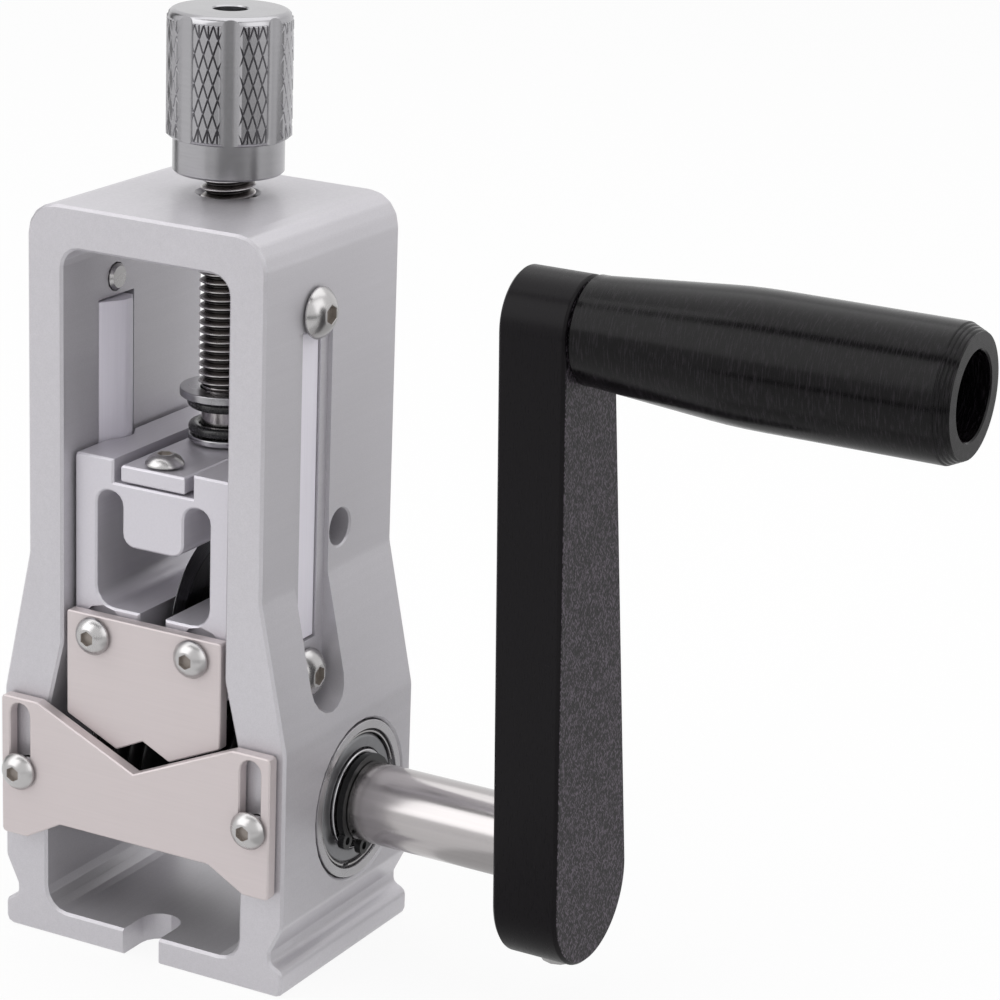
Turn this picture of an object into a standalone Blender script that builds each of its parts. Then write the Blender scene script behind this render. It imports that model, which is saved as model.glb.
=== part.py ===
"""Hand crank wire stripper, built as separate solids.

Metres, +Z up. The origin is on the ground, in the middle of the frame's footprint.
+X runs along the drive shaft to the crank, and the wire goes in from the -Y side.
"""
import math

import bmesh
import bpy
from mathutils import Matrix, Vector

COLLECTION_NAME = "hand_crank_wire_stripper"

# Clearances: a seat between still faces, a running fit on a shaft or screw, and the overrun of cuts
SEAT_GAP = 0.0003
RUNNING_GAP = 0.0002
OVERRUN = 0.004
MERGE_DISTANCE = 0.000003

# Facets of round shapes
ARC_STEPS = 4
SMALL_ARC_STEPS = 2
SMALL_ARC_RADIUS = 0.0015
BIG_ROUND_STEPS = 30
ROUND_STEPS = 24
SMALL_ROUND_STEPS = 12
HEX_SIDES = 6
FULL_ROUND_SHARE = 0.995
SHARP_DEGREES = 32.0
STRAIGHT_DEGREES = 89.0

# Frame: an extruded section with a window through it from front to back
FRAME_DEPTH = 0.036
FRAME_HEIGHT = 0.1124
FRAME_WIDTH = 0.040
FRAME_BASE_WIDTH = 0.049
FRAME_TOP_RADIUS = 0.0048
FRAME_FLARE_TOP_Z = 0.0598
FRAME_FLARE_BOTTOM_Z = 0.0379
FRAME_FLARE_RADIUS = 0.005
FRAME_EDGE_CHAMFER = 0.0004
FOOT_LIP_HEIGHT = 0.0040
FOOT_LIP_RADIUS = 0.0011
FOOT_GROOVE_DEPTH = 0.0021
FOOT_GROOVE_FLOOR = 0.0018
FOOT_GROOVE_TOP_Z = 0.0110
FOOT_GROOVE_RADIUS = 0.0010
FOOT_GROOVE_TOP_RADIUS = 0.0020
WINDOW_WIDTH = 0.028
FRAME_TOP_WALL = 0.0062
WINDOW_RADIUS = 0.0028
CHAMBER_WIDTH = 0.034
CHAMBER_FLOOR_Z = 0.0041
CHAMBER_RADIUS = 0.0035
CHAMBER_TOP_Z = 0.0345
WINDOW_FLARE_TOP_Z = 0.0470
BASE_SLOT_WIDTH = 0.0064
BASE_SLOT_REACH = 0.0081

# Plane of the mechanism: shaft, lead screw and blade axle all lie in it
MECHANISM_Y = 0.0032

# Side slots and the guide strips in them
SIDE_SLOT_Y = -0.0045
SIDE_SLOT_WIDTH = 0.0090
SIDE_SLOT_TOP_DROP = 0.0154
SIDE_POCKET_BOTTOM_Z = 0.0402
SIDE_POCKET_DEPTH = 0.0007
STRIP_NECK_WIDTH = 0.0045
STRIP_BOTTOM_Z = 0.0505
STRIP_TOP_DROP = 0.0160
STRIP_FLANGE_THICKNESS = 0.0040
STRIP_NECK_RECESS = 0.0003
STRIP_RIDGE_HEIGHT = 0.0021
STRIP_RIDGE_FLAT = 0.0016
STRIP_CLIP = 0.0019
STRIP_CLIP_DROP = 0.0038
SIDE_SCREW_UPPER_DROP = 0.0130
SIDE_SCREW_LOWER_Z = 0.0453
SIDE_SCREW_TIP_OUT = 0.0006

# Service hole for pushing out the blade axle
SERVICE_HOLE_Z = 0.0656
SERVICE_HOLE_RADIUS = 0.0028
SERVICE_HOLE_CHAMFER = 0.00025

# Drive shaft and bearings
SHAFT_Z = 0.0241
SHAFT_RADIUS = 0.0060
SHAFT_CHAMFER = 0.0006
SHAFT_FREE_END = 0.0030
BEARING_RADIUS = 0.0120
BEARING_WIDTH = 0.0060
BEARING_INNER_OUTSIDE_RADIUS = 0.0075
BEARING_OUTER_INSIDE_RADIUS = 0.0103
BEARING_BALL_RADIUS = 0.0012
BEARING_BALL_COUNT = 9
BEARING_BALL_LEVEL = 1
BEARING_CAGE_WALL = 0.0007
BEARING_CAGE_WIDTH = 0.0018
BEARING_EDGE = 0.0004
BEARING_TRACK_SHARE = 0.6
BEARING_SHOULDER_RADIUS = 0.0104
BEARING_CAGE_STEPS_PER_BALL = 3
CIRCLIP_THICKNESS = 0.0010
CIRCLIP_WALL = 0.0015
CIRCLIP_GROOVE_DEPTH = 0.0004
CIRCLIP_MOUTH_DEGREES = 36.0
CIRCLIP_LUG_RADIUS = 0.0013
CIRCLIP_LUG_HOLE_RADIUS = 0.0006
CIRCLIP_EYE_TURN_SHARE = 1.25
CIRCLIP_EYE_OUT_SHARE = 0.5

# Feed roller
ROLLER_RADIUS = 0.0150
ROLLER_WAIST_RADIUS = 0.0070
ROLLER_WAIST_FLAT = 0.0018
ROLLER_LENGTH = 0.0222
ROLLER_RIM_START = 0.0040
ROLLER_RIDGE_PITCH = 0.0026
ROLLER_RIDGE_COUNT = 3
ROLLER_RIDGE_DEPTH = 0.0010
ROLLER_VALLEY_SHARE = 0.7
ROLLER_END_CHAMFER = 0.0016
ROLLER_PIN_RADIUS = 0.0015
ROLLER_PIN_X_FROM_END = 0.0022

# Crank
CRANK_LEAN_DEGREES = 5.5
ARM_INNER_X = 0.0528
ARM_THICKNESS = 0.0103
ARM_REACH = 0.0800
ARM_TOP_RADIUS = 0.0075
ARM_BOTTOM_RADIUS = 0.0111
ARM_BOTTOM_DROP = 0.0055
ARM_EDGE_CHAMFER = 0.0005
ARM_BORE_DEPTH = 0.0078
ARM_SCREW_HEAD_RADIUS = 0.00335
ARM_SCREW_HEAD_HEIGHT = 0.0016
ARM_SCREW_FACE_DEPTH = 0.0006

# Handle on its bolt
HANDLE_NECK_RADIUS = 0.0076
HANDLE_NECK_LENGTH = 0.0015
HANDLE_RADIUS = 0.0094
HANDLE_CONE_END = 0.0205
HANDLE_LENGTH = 0.0546
HANDLE_END_RADIUS = 0.0084
HANDLE_END_LENGTH = 0.0022
HANDLE_END_RIM = 0.0003
HANDLE_BORE_RADIUS = 0.0060
HANDLE_BORE_DEPTH = 0.0300
HANDLE_BOLT_RADIUS = 0.0030
HANDLE_BOLT_IN_ARM = 0.0080
HANDLE_BOLT_HEAD_RADIUS = 0.0050
HANDLE_BOLT_HEAD_HEIGHT = 0.0040
HANDLE_BOLT_KEY_WIDTH = 0.0040
HANDLE_BOLT_KEY_DEPTH = 0.0027
HANDLE_WASHER_THICKNESS = 0.0010
HANDLE_WASHER_RADIUS = 0.0055

# Carriage that holds the blade
CARRIAGE_SIDE_GAP = 0.0005
CARRIAGE_LENGTH = 0.0312
CARRIAGE_BOTTOM_Z = 0.0430
CARRIAGE_TOP_Z = 0.0758
CARRIAGE_EDGE_CHAMFER = 0.0003
CARRIAGE_CORNER_RADIUS = 0.0006
CARRIAGE_CHANNEL_WIDTH = 0.0136
CARRIAGE_CHANNEL_DEPTH = 0.0035
CARRIAGE_WINDOW_WIDTH = 0.0194
CARRIAGE_WINDOW_FLOOR_Z = 0.0532
CARRIAGE_WINDOW_TOP_Z = 0.0709
CARRIAGE_WINDOW_RADIUS = 0.0020
CARRIAGE_FLOOR_RADIUS = 0.0030
CARRIAGE_BOSS_WIDTH = 0.0105
CARRIAGE_BOSS_BOTTOM_Z = 0.06295
BLADE_GAP = 0.0044
BLADE_AXLE_Z = 0.0486
BLADE_AXLE_RADIUS = 0.0025
BLADE_AXLE_END_GAP = 0.0004
BLADE_RADIUS = 0.01395
BLADE_THICKNESS = 0.0012
BLADE_BEVEL_WIDTH = 0.0024
BLADE_EDGE_THICKNESS = 0.00012
BLADE_SPACER_RADIUS = 0.0058
BLADE_SPACER_GAP = 0.0002

# Retaining plate and the lead screw's foot under it
RETAINER_WIDTH = 0.0109
RETAINER_THICKNESS = 0.0026
RETAINER_SCREW_INSET = 0.0031
SCREW_NECK_RADIUS = 0.0035
SCREW_FOOT_RADIUS = 0.0050
SCREW_FOOT_THICKNESS = 0.0028
SCREW_FOOT_POCKET_DEPTH = 0.0038

# Lead screw, the rings on it and the knob
LEAD_SCREW_RADIUS = 0.0040
LEAD_SCREW_PITCH = 0.00125
LEAD_SCREW_THREAD_DEPTH = 0.0007
LEAD_SCREW_STEPS_PER_TURN = 9
LEAD_SCREW_SPARE_TURNS = 3
LEAD_SCREW_PLAIN_RADIUS = 0.00365
LEAD_SCREW_TIP_RADIUS = 0.0028
LEAD_SCREW_IN_KNOB = 0.0150
SCREW_HOLE_CHAMFER = 0.0006
LOWER_THRUST_RING_RADIUS = 0.0054
LOWER_THRUST_RING_THICKNESS = 0.0010
LOWER_BLACK_RING_RADIUS = 0.0054
LOWER_BLACK_RING_THICKNESS = 0.0015
NECK_SHOWING = 0.0024
UPPER_BLACK_RING_RADIUS = 0.0056
UPPER_BLACK_RING_THICKNESS = 0.0015
FLANGE_WASHER_RADIUS = 0.0067
FLANGE_WASHER_THICKNESS = 0.0012
RING_EDGE = 0.0003
KNOB_BOTTOM_GAP = 0.0032
KNOB_COLLAR_RADIUS = 0.00805
KNOB_COLLAR_HEIGHT = 0.0051
KNOB_RADIUS = 0.00915
KNOB_GRIP_HEIGHT = 0.0183
KNOB_EDGE = 0.0008
KNOB_EDGE_SHARE = 0.3
KNOB_TOP_HOLE_RADIUS = 0.0025
KNOB_FLUTE_COUNT = 8
KNOB_FLUTE_WIDTH = 0.0037
KNOB_FLUTE_RADIUS = 0.0030
KNOB_FLUTE_RUN_OUT = 0.0005
KNOB_FLUTE_TURN_DEGREES = 33.5

# Guide plates for the wire
GUIDE_PLATE_THICKNESS = 0.0020
GUIDE_PLATE_CHAMFER = 0.0002
LOWER_PLATE_WIDTH = 0.0468
LOWER_PLATE_TOP_Z = 0.0378
LOWER_PLATE_V_WIDTH = 0.0340
LOWER_PLATE_V_Z = 0.0303
LOWER_PLATE_END_Z = 0.0160
LOWER_PLATE_MIDDLE_Z = 0.0193
LOWER_PLATE_END_START = 0.0190
LOWER_PLATE_MIDDLE_START = 0.0130
LOWER_PLATE_CORNER = 0.0006
PLATE_SLOT_X = 0.0201
PLATE_SLOT_WIDTH = 0.0035
PLATE_SLOT_TRAVEL = 0.0088
PLATE_SCREW_Z = 0.0264
UPPER_PLATE_WIDTH = 0.0267
UPPER_PLATE_TOP_Z = 0.0524
UPPER_PLATE_SIDE_Z = 0.0363
UPPER_PLATE_FOOT_X = 0.0046
UPPER_PLATE_FOOT_Z = 0.0324
UPPER_PLATE_NOTCH_Z = 0.0346
UPPER_PLATE_CORNER = 0.0004
UPPER_PLATE_SCREW_X = 0.0085
UPPER_PLATE_SCREW_Z = 0.0493
UPPER_PLATE_POCKET_RADIUS = 0.0040
UPPER_PLATE_POCKET_DEPTH = 0.0008

# Button head screws: shank radius, head radius, head height, key width
SMALL_SCREW = {"shank": 0.0015, "head": 0.00285, "height": 0.00165, "key": 0.0020}
SIDE_SCREW = {"shank": 0.0020, "head": 0.0038, "height": 0.0022, "key": 0.0025}
ARM_SCREW = {"shank": 0.0020, "head": ARM_SCREW_HEAD_RADIUS, "height": ARM_SCREW_HEAD_HEIGHT, "key": 0.0025}
SCREW_KEY_DEPTH_SHARE = 0.62
SCREW_CROWN_SHARE = 0.50
SCREW_RIM_SHARE = 0.22
SCREW_CROWN_STEPS = 2
SCREW_TIP_CHAMFER = 0.0004
FRONT_SCREW_LENGTH = 0.0080
CARRIAGE_SCREW_LENGTH = 0.0060

# Finishes: colour, roughness, metallic
FINISHES = {
    "blasted_aluminium": ((0.55, 0.54, 0.56), 0.45, 1.0),
    "machined_aluminium": ((0.64, 0.62, 0.66), 0.38, 1.0),
    "guide_plate_steel": ((0.60, 0.55, 0.55), 0.36, 1.0),
    "polished_steel": ((0.72, 0.71, 0.71), 0.20, 1.0),
    "bright_strip": ((0.70, 0.68, 0.72), 0.30, 1.0),
    "dark_screw_steel": ((0.22, 0.21, 0.21), 0.35, 1.0),
    "black_rubber": ((0.015, 0.015, 0.016), 0.50, 0.0),
    "black_oxide_steel": ((0.030, 0.030, 0.032), 0.40, 0.8),
    "black_crank": ((0.018, 0.018, 0.020), 0.45, 0.3),
    "blade_steel": ((0.16, 0.16, 0.17), 0.30, 1.0),
    "knob_steel": ((0.42, 0.41, 0.42), 0.30, 1.0),
}

# Places that follow from the sizes above
FRAME_FRONT_Y = -FRAME_DEPTH / 2
WALL_FACE_X = FRAME_WIDTH / 2
BASE_FACE_X = FRAME_BASE_WIDTH / 2
WINDOW_FACE_X = WINDOW_WIDTH / 2
WINDOW_TOP_Z = FRAME_HEIGHT - FRAME_TOP_WALL
SIDE_SLOT_TOP_Z = FRAME_HEIGHT - SIDE_SLOT_TOP_DROP
STRIP_TOP_Z = FRAME_HEIGHT - STRIP_TOP_DROP
SIDE_SCREW_UPPER_Z = FRAME_HEIGHT - SIDE_SCREW_UPPER_DROP
SIDE_POCKET_X = WALL_FACE_X - SIDE_POCKET_DEPTH
STRIP_SLOT_X = WINDOW_FACE_X + STRIP_FLANGE_THICKNESS
CARRIAGE_HALF_WIDTH = WINDOW_FACE_X - CARRIAGE_SIDE_GAP
CARRIAGE_FRONT_Y = -CARRIAGE_LENGTH / 2
CHANNEL_FLOOR_Z = CARRIAGE_TOP_Z - CARRIAGE_CHANNEL_DEPTH
RETAINER_BOTTOM_Z = CHANNEL_FLOOR_Z + SEAT_GAP
RETAINER_TOP_Z = RETAINER_BOTTOM_Z + RETAINER_THICKNESS
KNOB_BOTTOM_Z = FRAME_HEIGHT + KNOB_BOTTOM_GAP
BEARING_INNER_X = BASE_FACE_X - BEARING_WIDTH
BEARING_BORE_RADIUS = SHAFT_RADIUS + RUNNING_GAP
ARM_OUTER_X = ARM_INNER_X + ARM_THICKNESS
CRANK_LEAN = math.radians(CRANK_LEAN_DEGREES)
HANDLE_Y = MECHANISM_Y - ARM_REACH * math.sin(CRANK_LEAN)
HANDLE_Z = SHAFT_Z + ARM_REACH * math.cos(CRANK_LEAN)
HANDLE_START_X = ARM_OUTER_X + SEAT_GAP

# Views: a piece drawn flat, or turned about its own Z, is stood up along a world axis
ALONG_Z = Matrix.Identity(4)
ALONG_X = Matrix(((0, 0, 1, 0), (1, 0, 0, 0), (0, 1, 0, 0), (0, 0, 0, 1)))
ALONG_Y = Matrix.Rotation(math.pi / 2, 4, "X")


def clear_scene():
    """Remove the objects and collections that the scene starts with."""
    for item in list(bpy.data.objects):
        bpy.data.objects.remove(item, do_unlink=True)
    for group in list(bpy.data.collections):
        bpy.data.collections.remove(group)


def make_collection(name):
    """Return a new collection linked to the scene."""
    group = bpy.data.collections.new(name)
    bpy.context.scene.collection.children.link(group)
    return group


clear_scene()
PARTS = make_collection(COLLECTION_NAME)
CUTTERS = make_collection("cutters")
JOINTS = make_collection("joint_axes")


def finish_material(name):
    """Return the material of that finish, made once."""
    found = bpy.data.materials.get(name)
    if found:
        return found
    colour, roughness, metallic = FINISHES[name]
    made = bpy.data.materials.new(name)
    made.use_nodes = True
    shader = made.node_tree.nodes["Principled BSDF"]
    shader.inputs["Base Color"].default_value = (*colour, 1.0)
    shader.inputs["Roughness"].default_value = roughness
    shader.inputs["Metallic"].default_value = metallic
    return made


def add_object(name, mesh, finish, place):
    """Put a mesh in the scene: a part where a finish is given, otherwise a cutter."""
    item = bpy.data.objects.new(name, mesh)
    item.matrix_world = place
    if finish:
        mesh.materials.append(finish_material(finish))
        PARTS.objects.link(item)
    else:
        CUTTERS.objects.link(item)
        item.hide_render = True
        item.display_type = "WIRE"
    return item


def smooth_rounds(mesh):
    """Shade the round faces smooth and keep the real edges sharp."""
    mesh.shade_smooth()
    mesh.set_sharp_from_angle(angle=math.radians(SHARP_DEGREES))


def joint_axis(name, place):
    """Add an empty on a joint's axis."""
    empty = bpy.data.objects.new(name, None)
    empty.location = place
    JOINTS.objects.link(empty)
    return empty


def hang_on(empty, pieces):
    """Parent pieces to a joint's empty and leave them where they are."""
    bpy.context.view_layer.update()
    for piece in pieces:
        piece.parent = empty
        piece.matrix_parent_inverse = empty.matrix_world.inverted()


def rounded_outline(corners):
    """Return a closed outline through (across, up, radius) corners, each rounded to its radius."""
    points = []
    count = len(corners)
    for index, (x, y, radius) in enumerate(corners):
        here = Vector((x, y))
        before = (Vector(corners[index - 1][:2]) - here).normalized()
        after = (Vector(corners[(index + 1) % count][:2]) - here).normalized()
        half = before.angle(after) / 2
        if radius == 0 or half > math.radians(STRAIGHT_DEGREES):
            points.append(here)
            continue
        centre = here + (before + after).normalized() * (radius / math.sin(half))
        start = here + before * (radius / math.tan(half)) - centre
        sweep = start.angle_signed(here + after * (radius / math.tan(half)) - centre)
        steps = ARC_STEPS if radius > SMALL_ARC_RADIUS else SMALL_ARC_STEPS
        for step in range(steps + 1):
            points.append(centre + Matrix.Rotation(-sweep * step / steps, 2) @ start)
    return points


def mirrored(right_half, middle=()):
    """Return the corners of the right half, any middle ones, and the right half mirrored."""
    left_half = [(-x, y, radius) for x, y, radius in reversed(right_half)]
    return [*right_half, *middle, *left_half]


def box_corners(low, high, radius):
    """Return the corners of a rectangle."""
    return [(low[0], low[1], radius), (high[0], low[1], radius),
            (high[0], high[1], radius), (low[0], high[1], radius)]


def flat_piece(name, outlines, span, view, chamfer, finish):
    """Cut outlines from a sheet that fills the span along the view's axis, with chamfered edges."""
    low, high = span
    curve = bpy.data.curves.new(name, "CURVE")
    curve.dimensions = "2D"
    curve.fill_mode = "BOTH"
    curve.extrude = (high - low) / 2 - chamfer
    curve.bevel_depth = chamfer
    curve.bevel_resolution = 0
    curve.offset = -chamfer
    for outline in outlines:
        spline = curve.splines.new("POLY")
        spline.points.add(len(outline) - 1)
        spline.use_cyclic_u = True
        for point, place in zip(spline.points, outline):
            point.co = (place[0], place[1], 0, 1)
    drawn = bpy.data.objects.new(name + "_outline", curve)
    CUTTERS.objects.link(drawn)
    axis = view.to_3x3() @ Vector((0, 0, 1))
    middle = (low + high) / 2 * (1 if sum(axis) > 0 else -1)
    drawn.matrix_world = view @ Matrix.Translation((0, 0, middle))
    bpy.context.view_layer.update()
    evaluated = drawn.evaluated_get(bpy.context.evaluated_depsgraph_get())
    mesh = bpy.data.meshes.new_from_object(evaluated)
    place = drawn.matrix_world.copy()
    bpy.data.objects.remove(drawn, do_unlink=True)
    bpy.data.curves.remove(curve)
    mesh.name = name
    mesh.materials.clear()
    shape = bmesh.new()
    shape.from_mesh(mesh)
    bmesh.ops.remove_doubles(shape, verts=shape.verts, dist=MERGE_DISTANCE)
    bmesh.ops.recalc_face_normals(shape, faces=shape.faces)
    shape.to_mesh(mesh)
    shape.free()
    smooth_rounds(mesh)
    return add_object(name, mesh, finish, place)


def turned_piece(name, profile, place, steps, finish):
    """Turn a profile of (radius, height) points, outer side running downwards, about its own Z."""
    mesh = bpy.data.meshes.new(name)
    shape = bmesh.new()
    verts = [shape.verts.new((radius, 0, height)) for radius, height in profile]
    for first, second in zip(verts, verts[1:]):
        shape.edges.new((first, second))
    if profile[0][0] > 0:
        shape.edges.new((verts[-1], verts[0]))
    shape.to_mesh(mesh)
    shape.free()
    item = add_object(name, mesh, finish, place)
    screw = item.modifiers.new("turn", "SCREW")
    screw.steps = steps
    screw.render_steps = steps
    screw.use_merge_vertices = True
    screw.merge_threshold = MERGE_DISTANCE
    screw.use_smooth_shade = True
    return item


def ring_profile(inner, outer, low, high, edge):
    """Return the closed profile of a ring, with chamfered outer edges if an edge is given."""
    if edge == 0:
        return [(inner, high), (outer, high), (outer, low), (inner, low)]
    return [(inner, high), (outer - edge, high), (outer, high - edge),
            (outer, low + edge), (outer - edge, low), (inner, low)]


def rod_profile(radius, low, high, edge):
    """Return the profile of a rod with chamfered ends."""
    return [(0, high), (radius - edge, high), (radius, high - edge),
            (radius, low + edge), (radius - edge, low), (0, low)]


def straight_cutter(name, radius, low, high, place, steps=ROUND_STEPS):
    """Return a plain round cutter along its own Z."""
    mesh = bpy.data.meshes.new(name)
    shape = bmesh.new()
    bmesh.ops.create_cone(shape, cap_ends=True, segments=steps, radius1=radius, radius2=radius,
                          depth=high - low, matrix=Matrix.Translation((0, 0, (low + high) / 2)))
    shape.to_mesh(mesh)
    shape.free()
    return add_object(name, mesh, None, place)


def flared_cutter(name, radius, flare, low, high, place):
    """Return a round cutter that opens out by the flare at its upper face."""
    profile = [(0, high + OVERRUN), (radius + flare + OVERRUN, high + OVERRUN),
               (radius, high - flare), (radius, low), (0, low)]
    return turned_piece(name, profile, place, ROUND_STEPS, None)


def cut(piece, cutters, operation="DIFFERENCE"):
    """Cut the piece with each cutter, or join each cutter to it."""
    for cutter in cutters:
        boolean = piece.modifiers.new(cutter.name, "BOOLEAN")
        boolean.operation = operation
        boolean.solver = "EXACT"
        boolean.object = cutter
    return piece


def on_x(x, y, z):
    """Return the place of a piece that is turned about X."""
    return Matrix.Translation((x, y, z)) @ ALONG_X


def facing(place, direction):
    """Return the place of a piece whose own Z points along the direction."""
    turn = Vector(direction).to_track_quat("Z", "Y").to_matrix().to_4x4()
    return Matrix.Translation(place) @ turn


def leaning(place):
    """Turn a place in the crank's upright frame about the shaft, to the crank's rest lean."""
    pivot = Matrix.Translation((0, MECHANISM_Y, SHAFT_Z))
    return pivot @ Matrix.Rotation(CRANK_LEAN, 4, "X") @ pivot.inverted() @ place


def button_screw(name, sizes, length, place, finish="polished_steel"):
    """Make a button head screw whose seat is at its origin and whose head points along its Z."""
    head, height, shank = sizes["head"], sizes["height"], sizes["shank"]
    crown = head * SCREW_CROWN_SHARE
    rim = height * SCREW_RIM_SHARE
    profile = [(0, height), (crown, height)]
    for step in range(1, SCREW_CROWN_STEPS + 1):
        turn = math.pi / 2 * step / SCREW_CROWN_STEPS
        profile.append((crown + (head - crown) * math.sin(turn), rim + (height - rim) * math.cos(turn)))
    profile += [(head, 0), (shank, 0), (shank, -length + SCREW_TIP_CHAMFER),
                (shank - SCREW_TIP_CHAMFER, -length), (0, -length)]
    screw = turned_piece(name, profile, place, SMALL_ROUND_STEPS, finish)
    socket_floor = height * (1 - SCREW_KEY_DEPTH_SHARE)
    corner_radius = sizes["key"] / 2 / math.cos(math.pi / 6)
    socket = straight_cutter(name + "_socket", corner_radius, socket_floor, height + OVERRUN, place,
                             HEX_SIDES)
    return cut(screw, [socket])


def frame_outline():
    """Return the frame's outer section: straight walls, flare, foot groove and foot lip."""
    groove_x = BASE_FACE_X - FOOT_GROOVE_DEPTH
    groove_z = FOOT_LIP_HEIGHT + FOOT_GROOVE_RADIUS
    return rounded_outline(mirrored([
        (BASE_FACE_X, 0, FOOT_LIP_RADIUS),
        (BASE_FACE_X, FOOT_LIP_HEIGHT, FOOT_LIP_RADIUS),
        (groove_x, groove_z, FOOT_GROOVE_RADIUS),
        (groove_x, groove_z + FOOT_GROOVE_FLOOR, FOOT_GROOVE_RADIUS),
        (BASE_FACE_X, FOOT_GROOVE_TOP_Z, FOOT_GROOVE_TOP_RADIUS),
        (BASE_FACE_X, FRAME_FLARE_BOTTOM_Z, FRAME_FLARE_RADIUS),
        (WALL_FACE_X, FRAME_FLARE_TOP_Z, FRAME_FLARE_RADIUS),
        (WALL_FACE_X, FRAME_HEIGHT, FRAME_TOP_RADIUS),
    ]))


def window_outline():
    """Return the window through the frame: wide chamber, flare and straight guideway."""
    return rounded_outline(mirrored([
        (CHAMBER_WIDTH / 2, CHAMBER_FLOOR_Z, CHAMBER_RADIUS),
        (CHAMBER_WIDTH / 2, CHAMBER_TOP_Z, FRAME_FLARE_RADIUS),
        (WINDOW_FACE_X, WINDOW_FLARE_TOP_Z, FRAME_FLARE_RADIUS),
        (WINDOW_FACE_X, WINDOW_TOP_Z, WINDOW_RADIUS),
    ]))[::-1]


def side_cutters(side):
    """Return the cutters of one side wall: pocket, strip slots, screw holes and bearing seat."""
    name = "left" if side < 0 else "right"
    pocket_low = SIDE_SLOT_Y - SIDE_SLOT_WIDTH / 2
    pocket_high = SIDE_SLOT_Y + SIDE_SLOT_WIDTH / 2
    pocket = rounded_outline([
        (pocket_low, SIDE_POCKET_BOTTOM_Z, SIDE_SLOT_WIDTH / 2 * FULL_ROUND_SHARE),
        (pocket_high, SIDE_POCKET_BOTTOM_Z, SIDE_SLOT_WIDTH / 2 * FULL_ROUND_SHARE),
        (pocket_high, SIDE_SLOT_TOP_Z, 0),
        (pocket_low, SIDE_SLOT_TOP_Z, 0),
    ])
    neck_half = STRIP_NECK_WIDTH / 2 + RUNNING_GAP
    slot_low = STRIP_BOTTOM_Z - SEAT_GAP
    slot_high = STRIP_TOP_Z + SEAT_GAP
    neck = rounded_outline(box_corners((SIDE_SLOT_Y - neck_half, slot_low),
                                       (SIDE_SLOT_Y + neck_half, slot_high), 0))
    flange = rounded_outline(box_corners((pocket_low, slot_low), (pocket_high, slot_high), 0))

    def across(low, high):
        return tuple(sorted((side * low, side * high)))

    made = [
        flat_piece("cut_pocket_" + name, [pocket], across(SIDE_POCKET_X, BASE_FACE_X + OVERRUN),
                   ALONG_X, 0, None),
        flat_piece("cut_neck_" + name, [neck], across(STRIP_SLOT_X - SEAT_GAP, WALL_FACE_X),
                   ALONG_X, 0, None),
        flat_piece("cut_flange_" + name, [flange], across(WINDOW_FACE_X - OVERRUN, STRIP_SLOT_X),
                   ALONG_X, 0, None),
    ]
    outward = (side, 0, 0)
    for screw_z in (SIDE_SCREW_UPPER_Z, SIDE_SCREW_LOWER_Z):
        made.append(straight_cutter("cut_side_screw_" + name, SIDE_SCREW["shank"] + RUNNING_GAP,
                                    -OVERRUN, BASE_FACE_X - WINDOW_FACE_X + OVERRUN,
                                    facing((side * WINDOW_FACE_X, SIDE_SLOT_Y, screw_z), outward),
                                    SMALL_ROUND_STEPS))
    seat = facing((side * (BEARING_INNER_X - SEAT_GAP), MECHANISM_Y, SHAFT_Z), outward)
    seat_radius = BEARING_RADIUS + RUNNING_GAP
    mouth = BEARING_WIDTH + SEAT_GAP
    made.append(turned_piece("cut_bearing_seat_" + name, [
        (0, mouth + OVERRUN), (seat_radius + FRAME_EDGE_CHAMFER + OVERRUN, mouth + OVERRUN),
        (seat_radius, mouth - FRAME_EDGE_CHAMFER), (seat_radius, 0), (BEARING_SHOULDER_RADIUS, 0),
        (BEARING_SHOULDER_RADIUS, -OVERRUN), (0, -OVERRUN)], seat, BIG_ROUND_STEPS, None))
    front = facing((side * PLATE_SLOT_X, FRAME_FRONT_Y, PLATE_SCREW_Z), (0, -1, 0))
    made.append(straight_cutter("cut_front_screw_" + name, SMALL_SCREW["shank"] + RUNNING_GAP,
                                -FRONT_SCREW_LENGTH, OVERRUN, front, SMALL_ROUND_STEPS))
    return made


def base_slot_cutters():
    """Return the cutters of the round-ended mounting slots in the floor, front and rear."""
    half = BASE_SLOT_WIDTH / 2
    made = []
    for side in (-1, 1):
        ends = sorted((side * (FRAME_DEPTH / 2 + OVERRUN), side * (FRAME_DEPTH / 2 - BASE_SLOT_REACH)))
        slot = rounded_outline(box_corners((-half, ends[0]), (half, ends[1]), half * FULL_ROUND_SHARE))
        made.append(flat_piece("cut_base_slot", [slot], (-OVERRUN, CHAMBER_FLOOR_Z + OVERRUN),
                               ALONG_Z, 0, None))
    return made


def make_frame():
    """Make the one-piece frame with its window, slots, bores and screw holes."""
    frame = flat_piece("frame_body", [frame_outline(), window_outline()],
                       (-FRAME_DEPTH / 2, FRAME_DEPTH / 2), ALONG_Y, FRAME_EDGE_CHAMFER,
                       "blasted_aluminium")
    cutters = side_cutters(-1) + side_cutters(1) + base_slot_cutters()
    cutters.append(flared_cutter("cut_lead_screw", LEAD_SCREW_RADIUS + RUNNING_GAP, SCREW_HOLE_CHAMFER,
                                 WINDOW_TOP_Z - OVERRUN, FRAME_HEIGHT,
                                 Matrix.Translation((0, MECHANISM_Y, 0))))
    cutters.append(flared_cutter("cut_service_hole", SERVICE_HOLE_RADIUS, SERVICE_HOLE_CHAMFER,
                                 WINDOW_FACE_X - OVERRUN, WALL_FACE_X,
                                 on_x(0, MECHANISM_Y, SERVICE_HOLE_Z)))
    return cut(frame, cutters)


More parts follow.
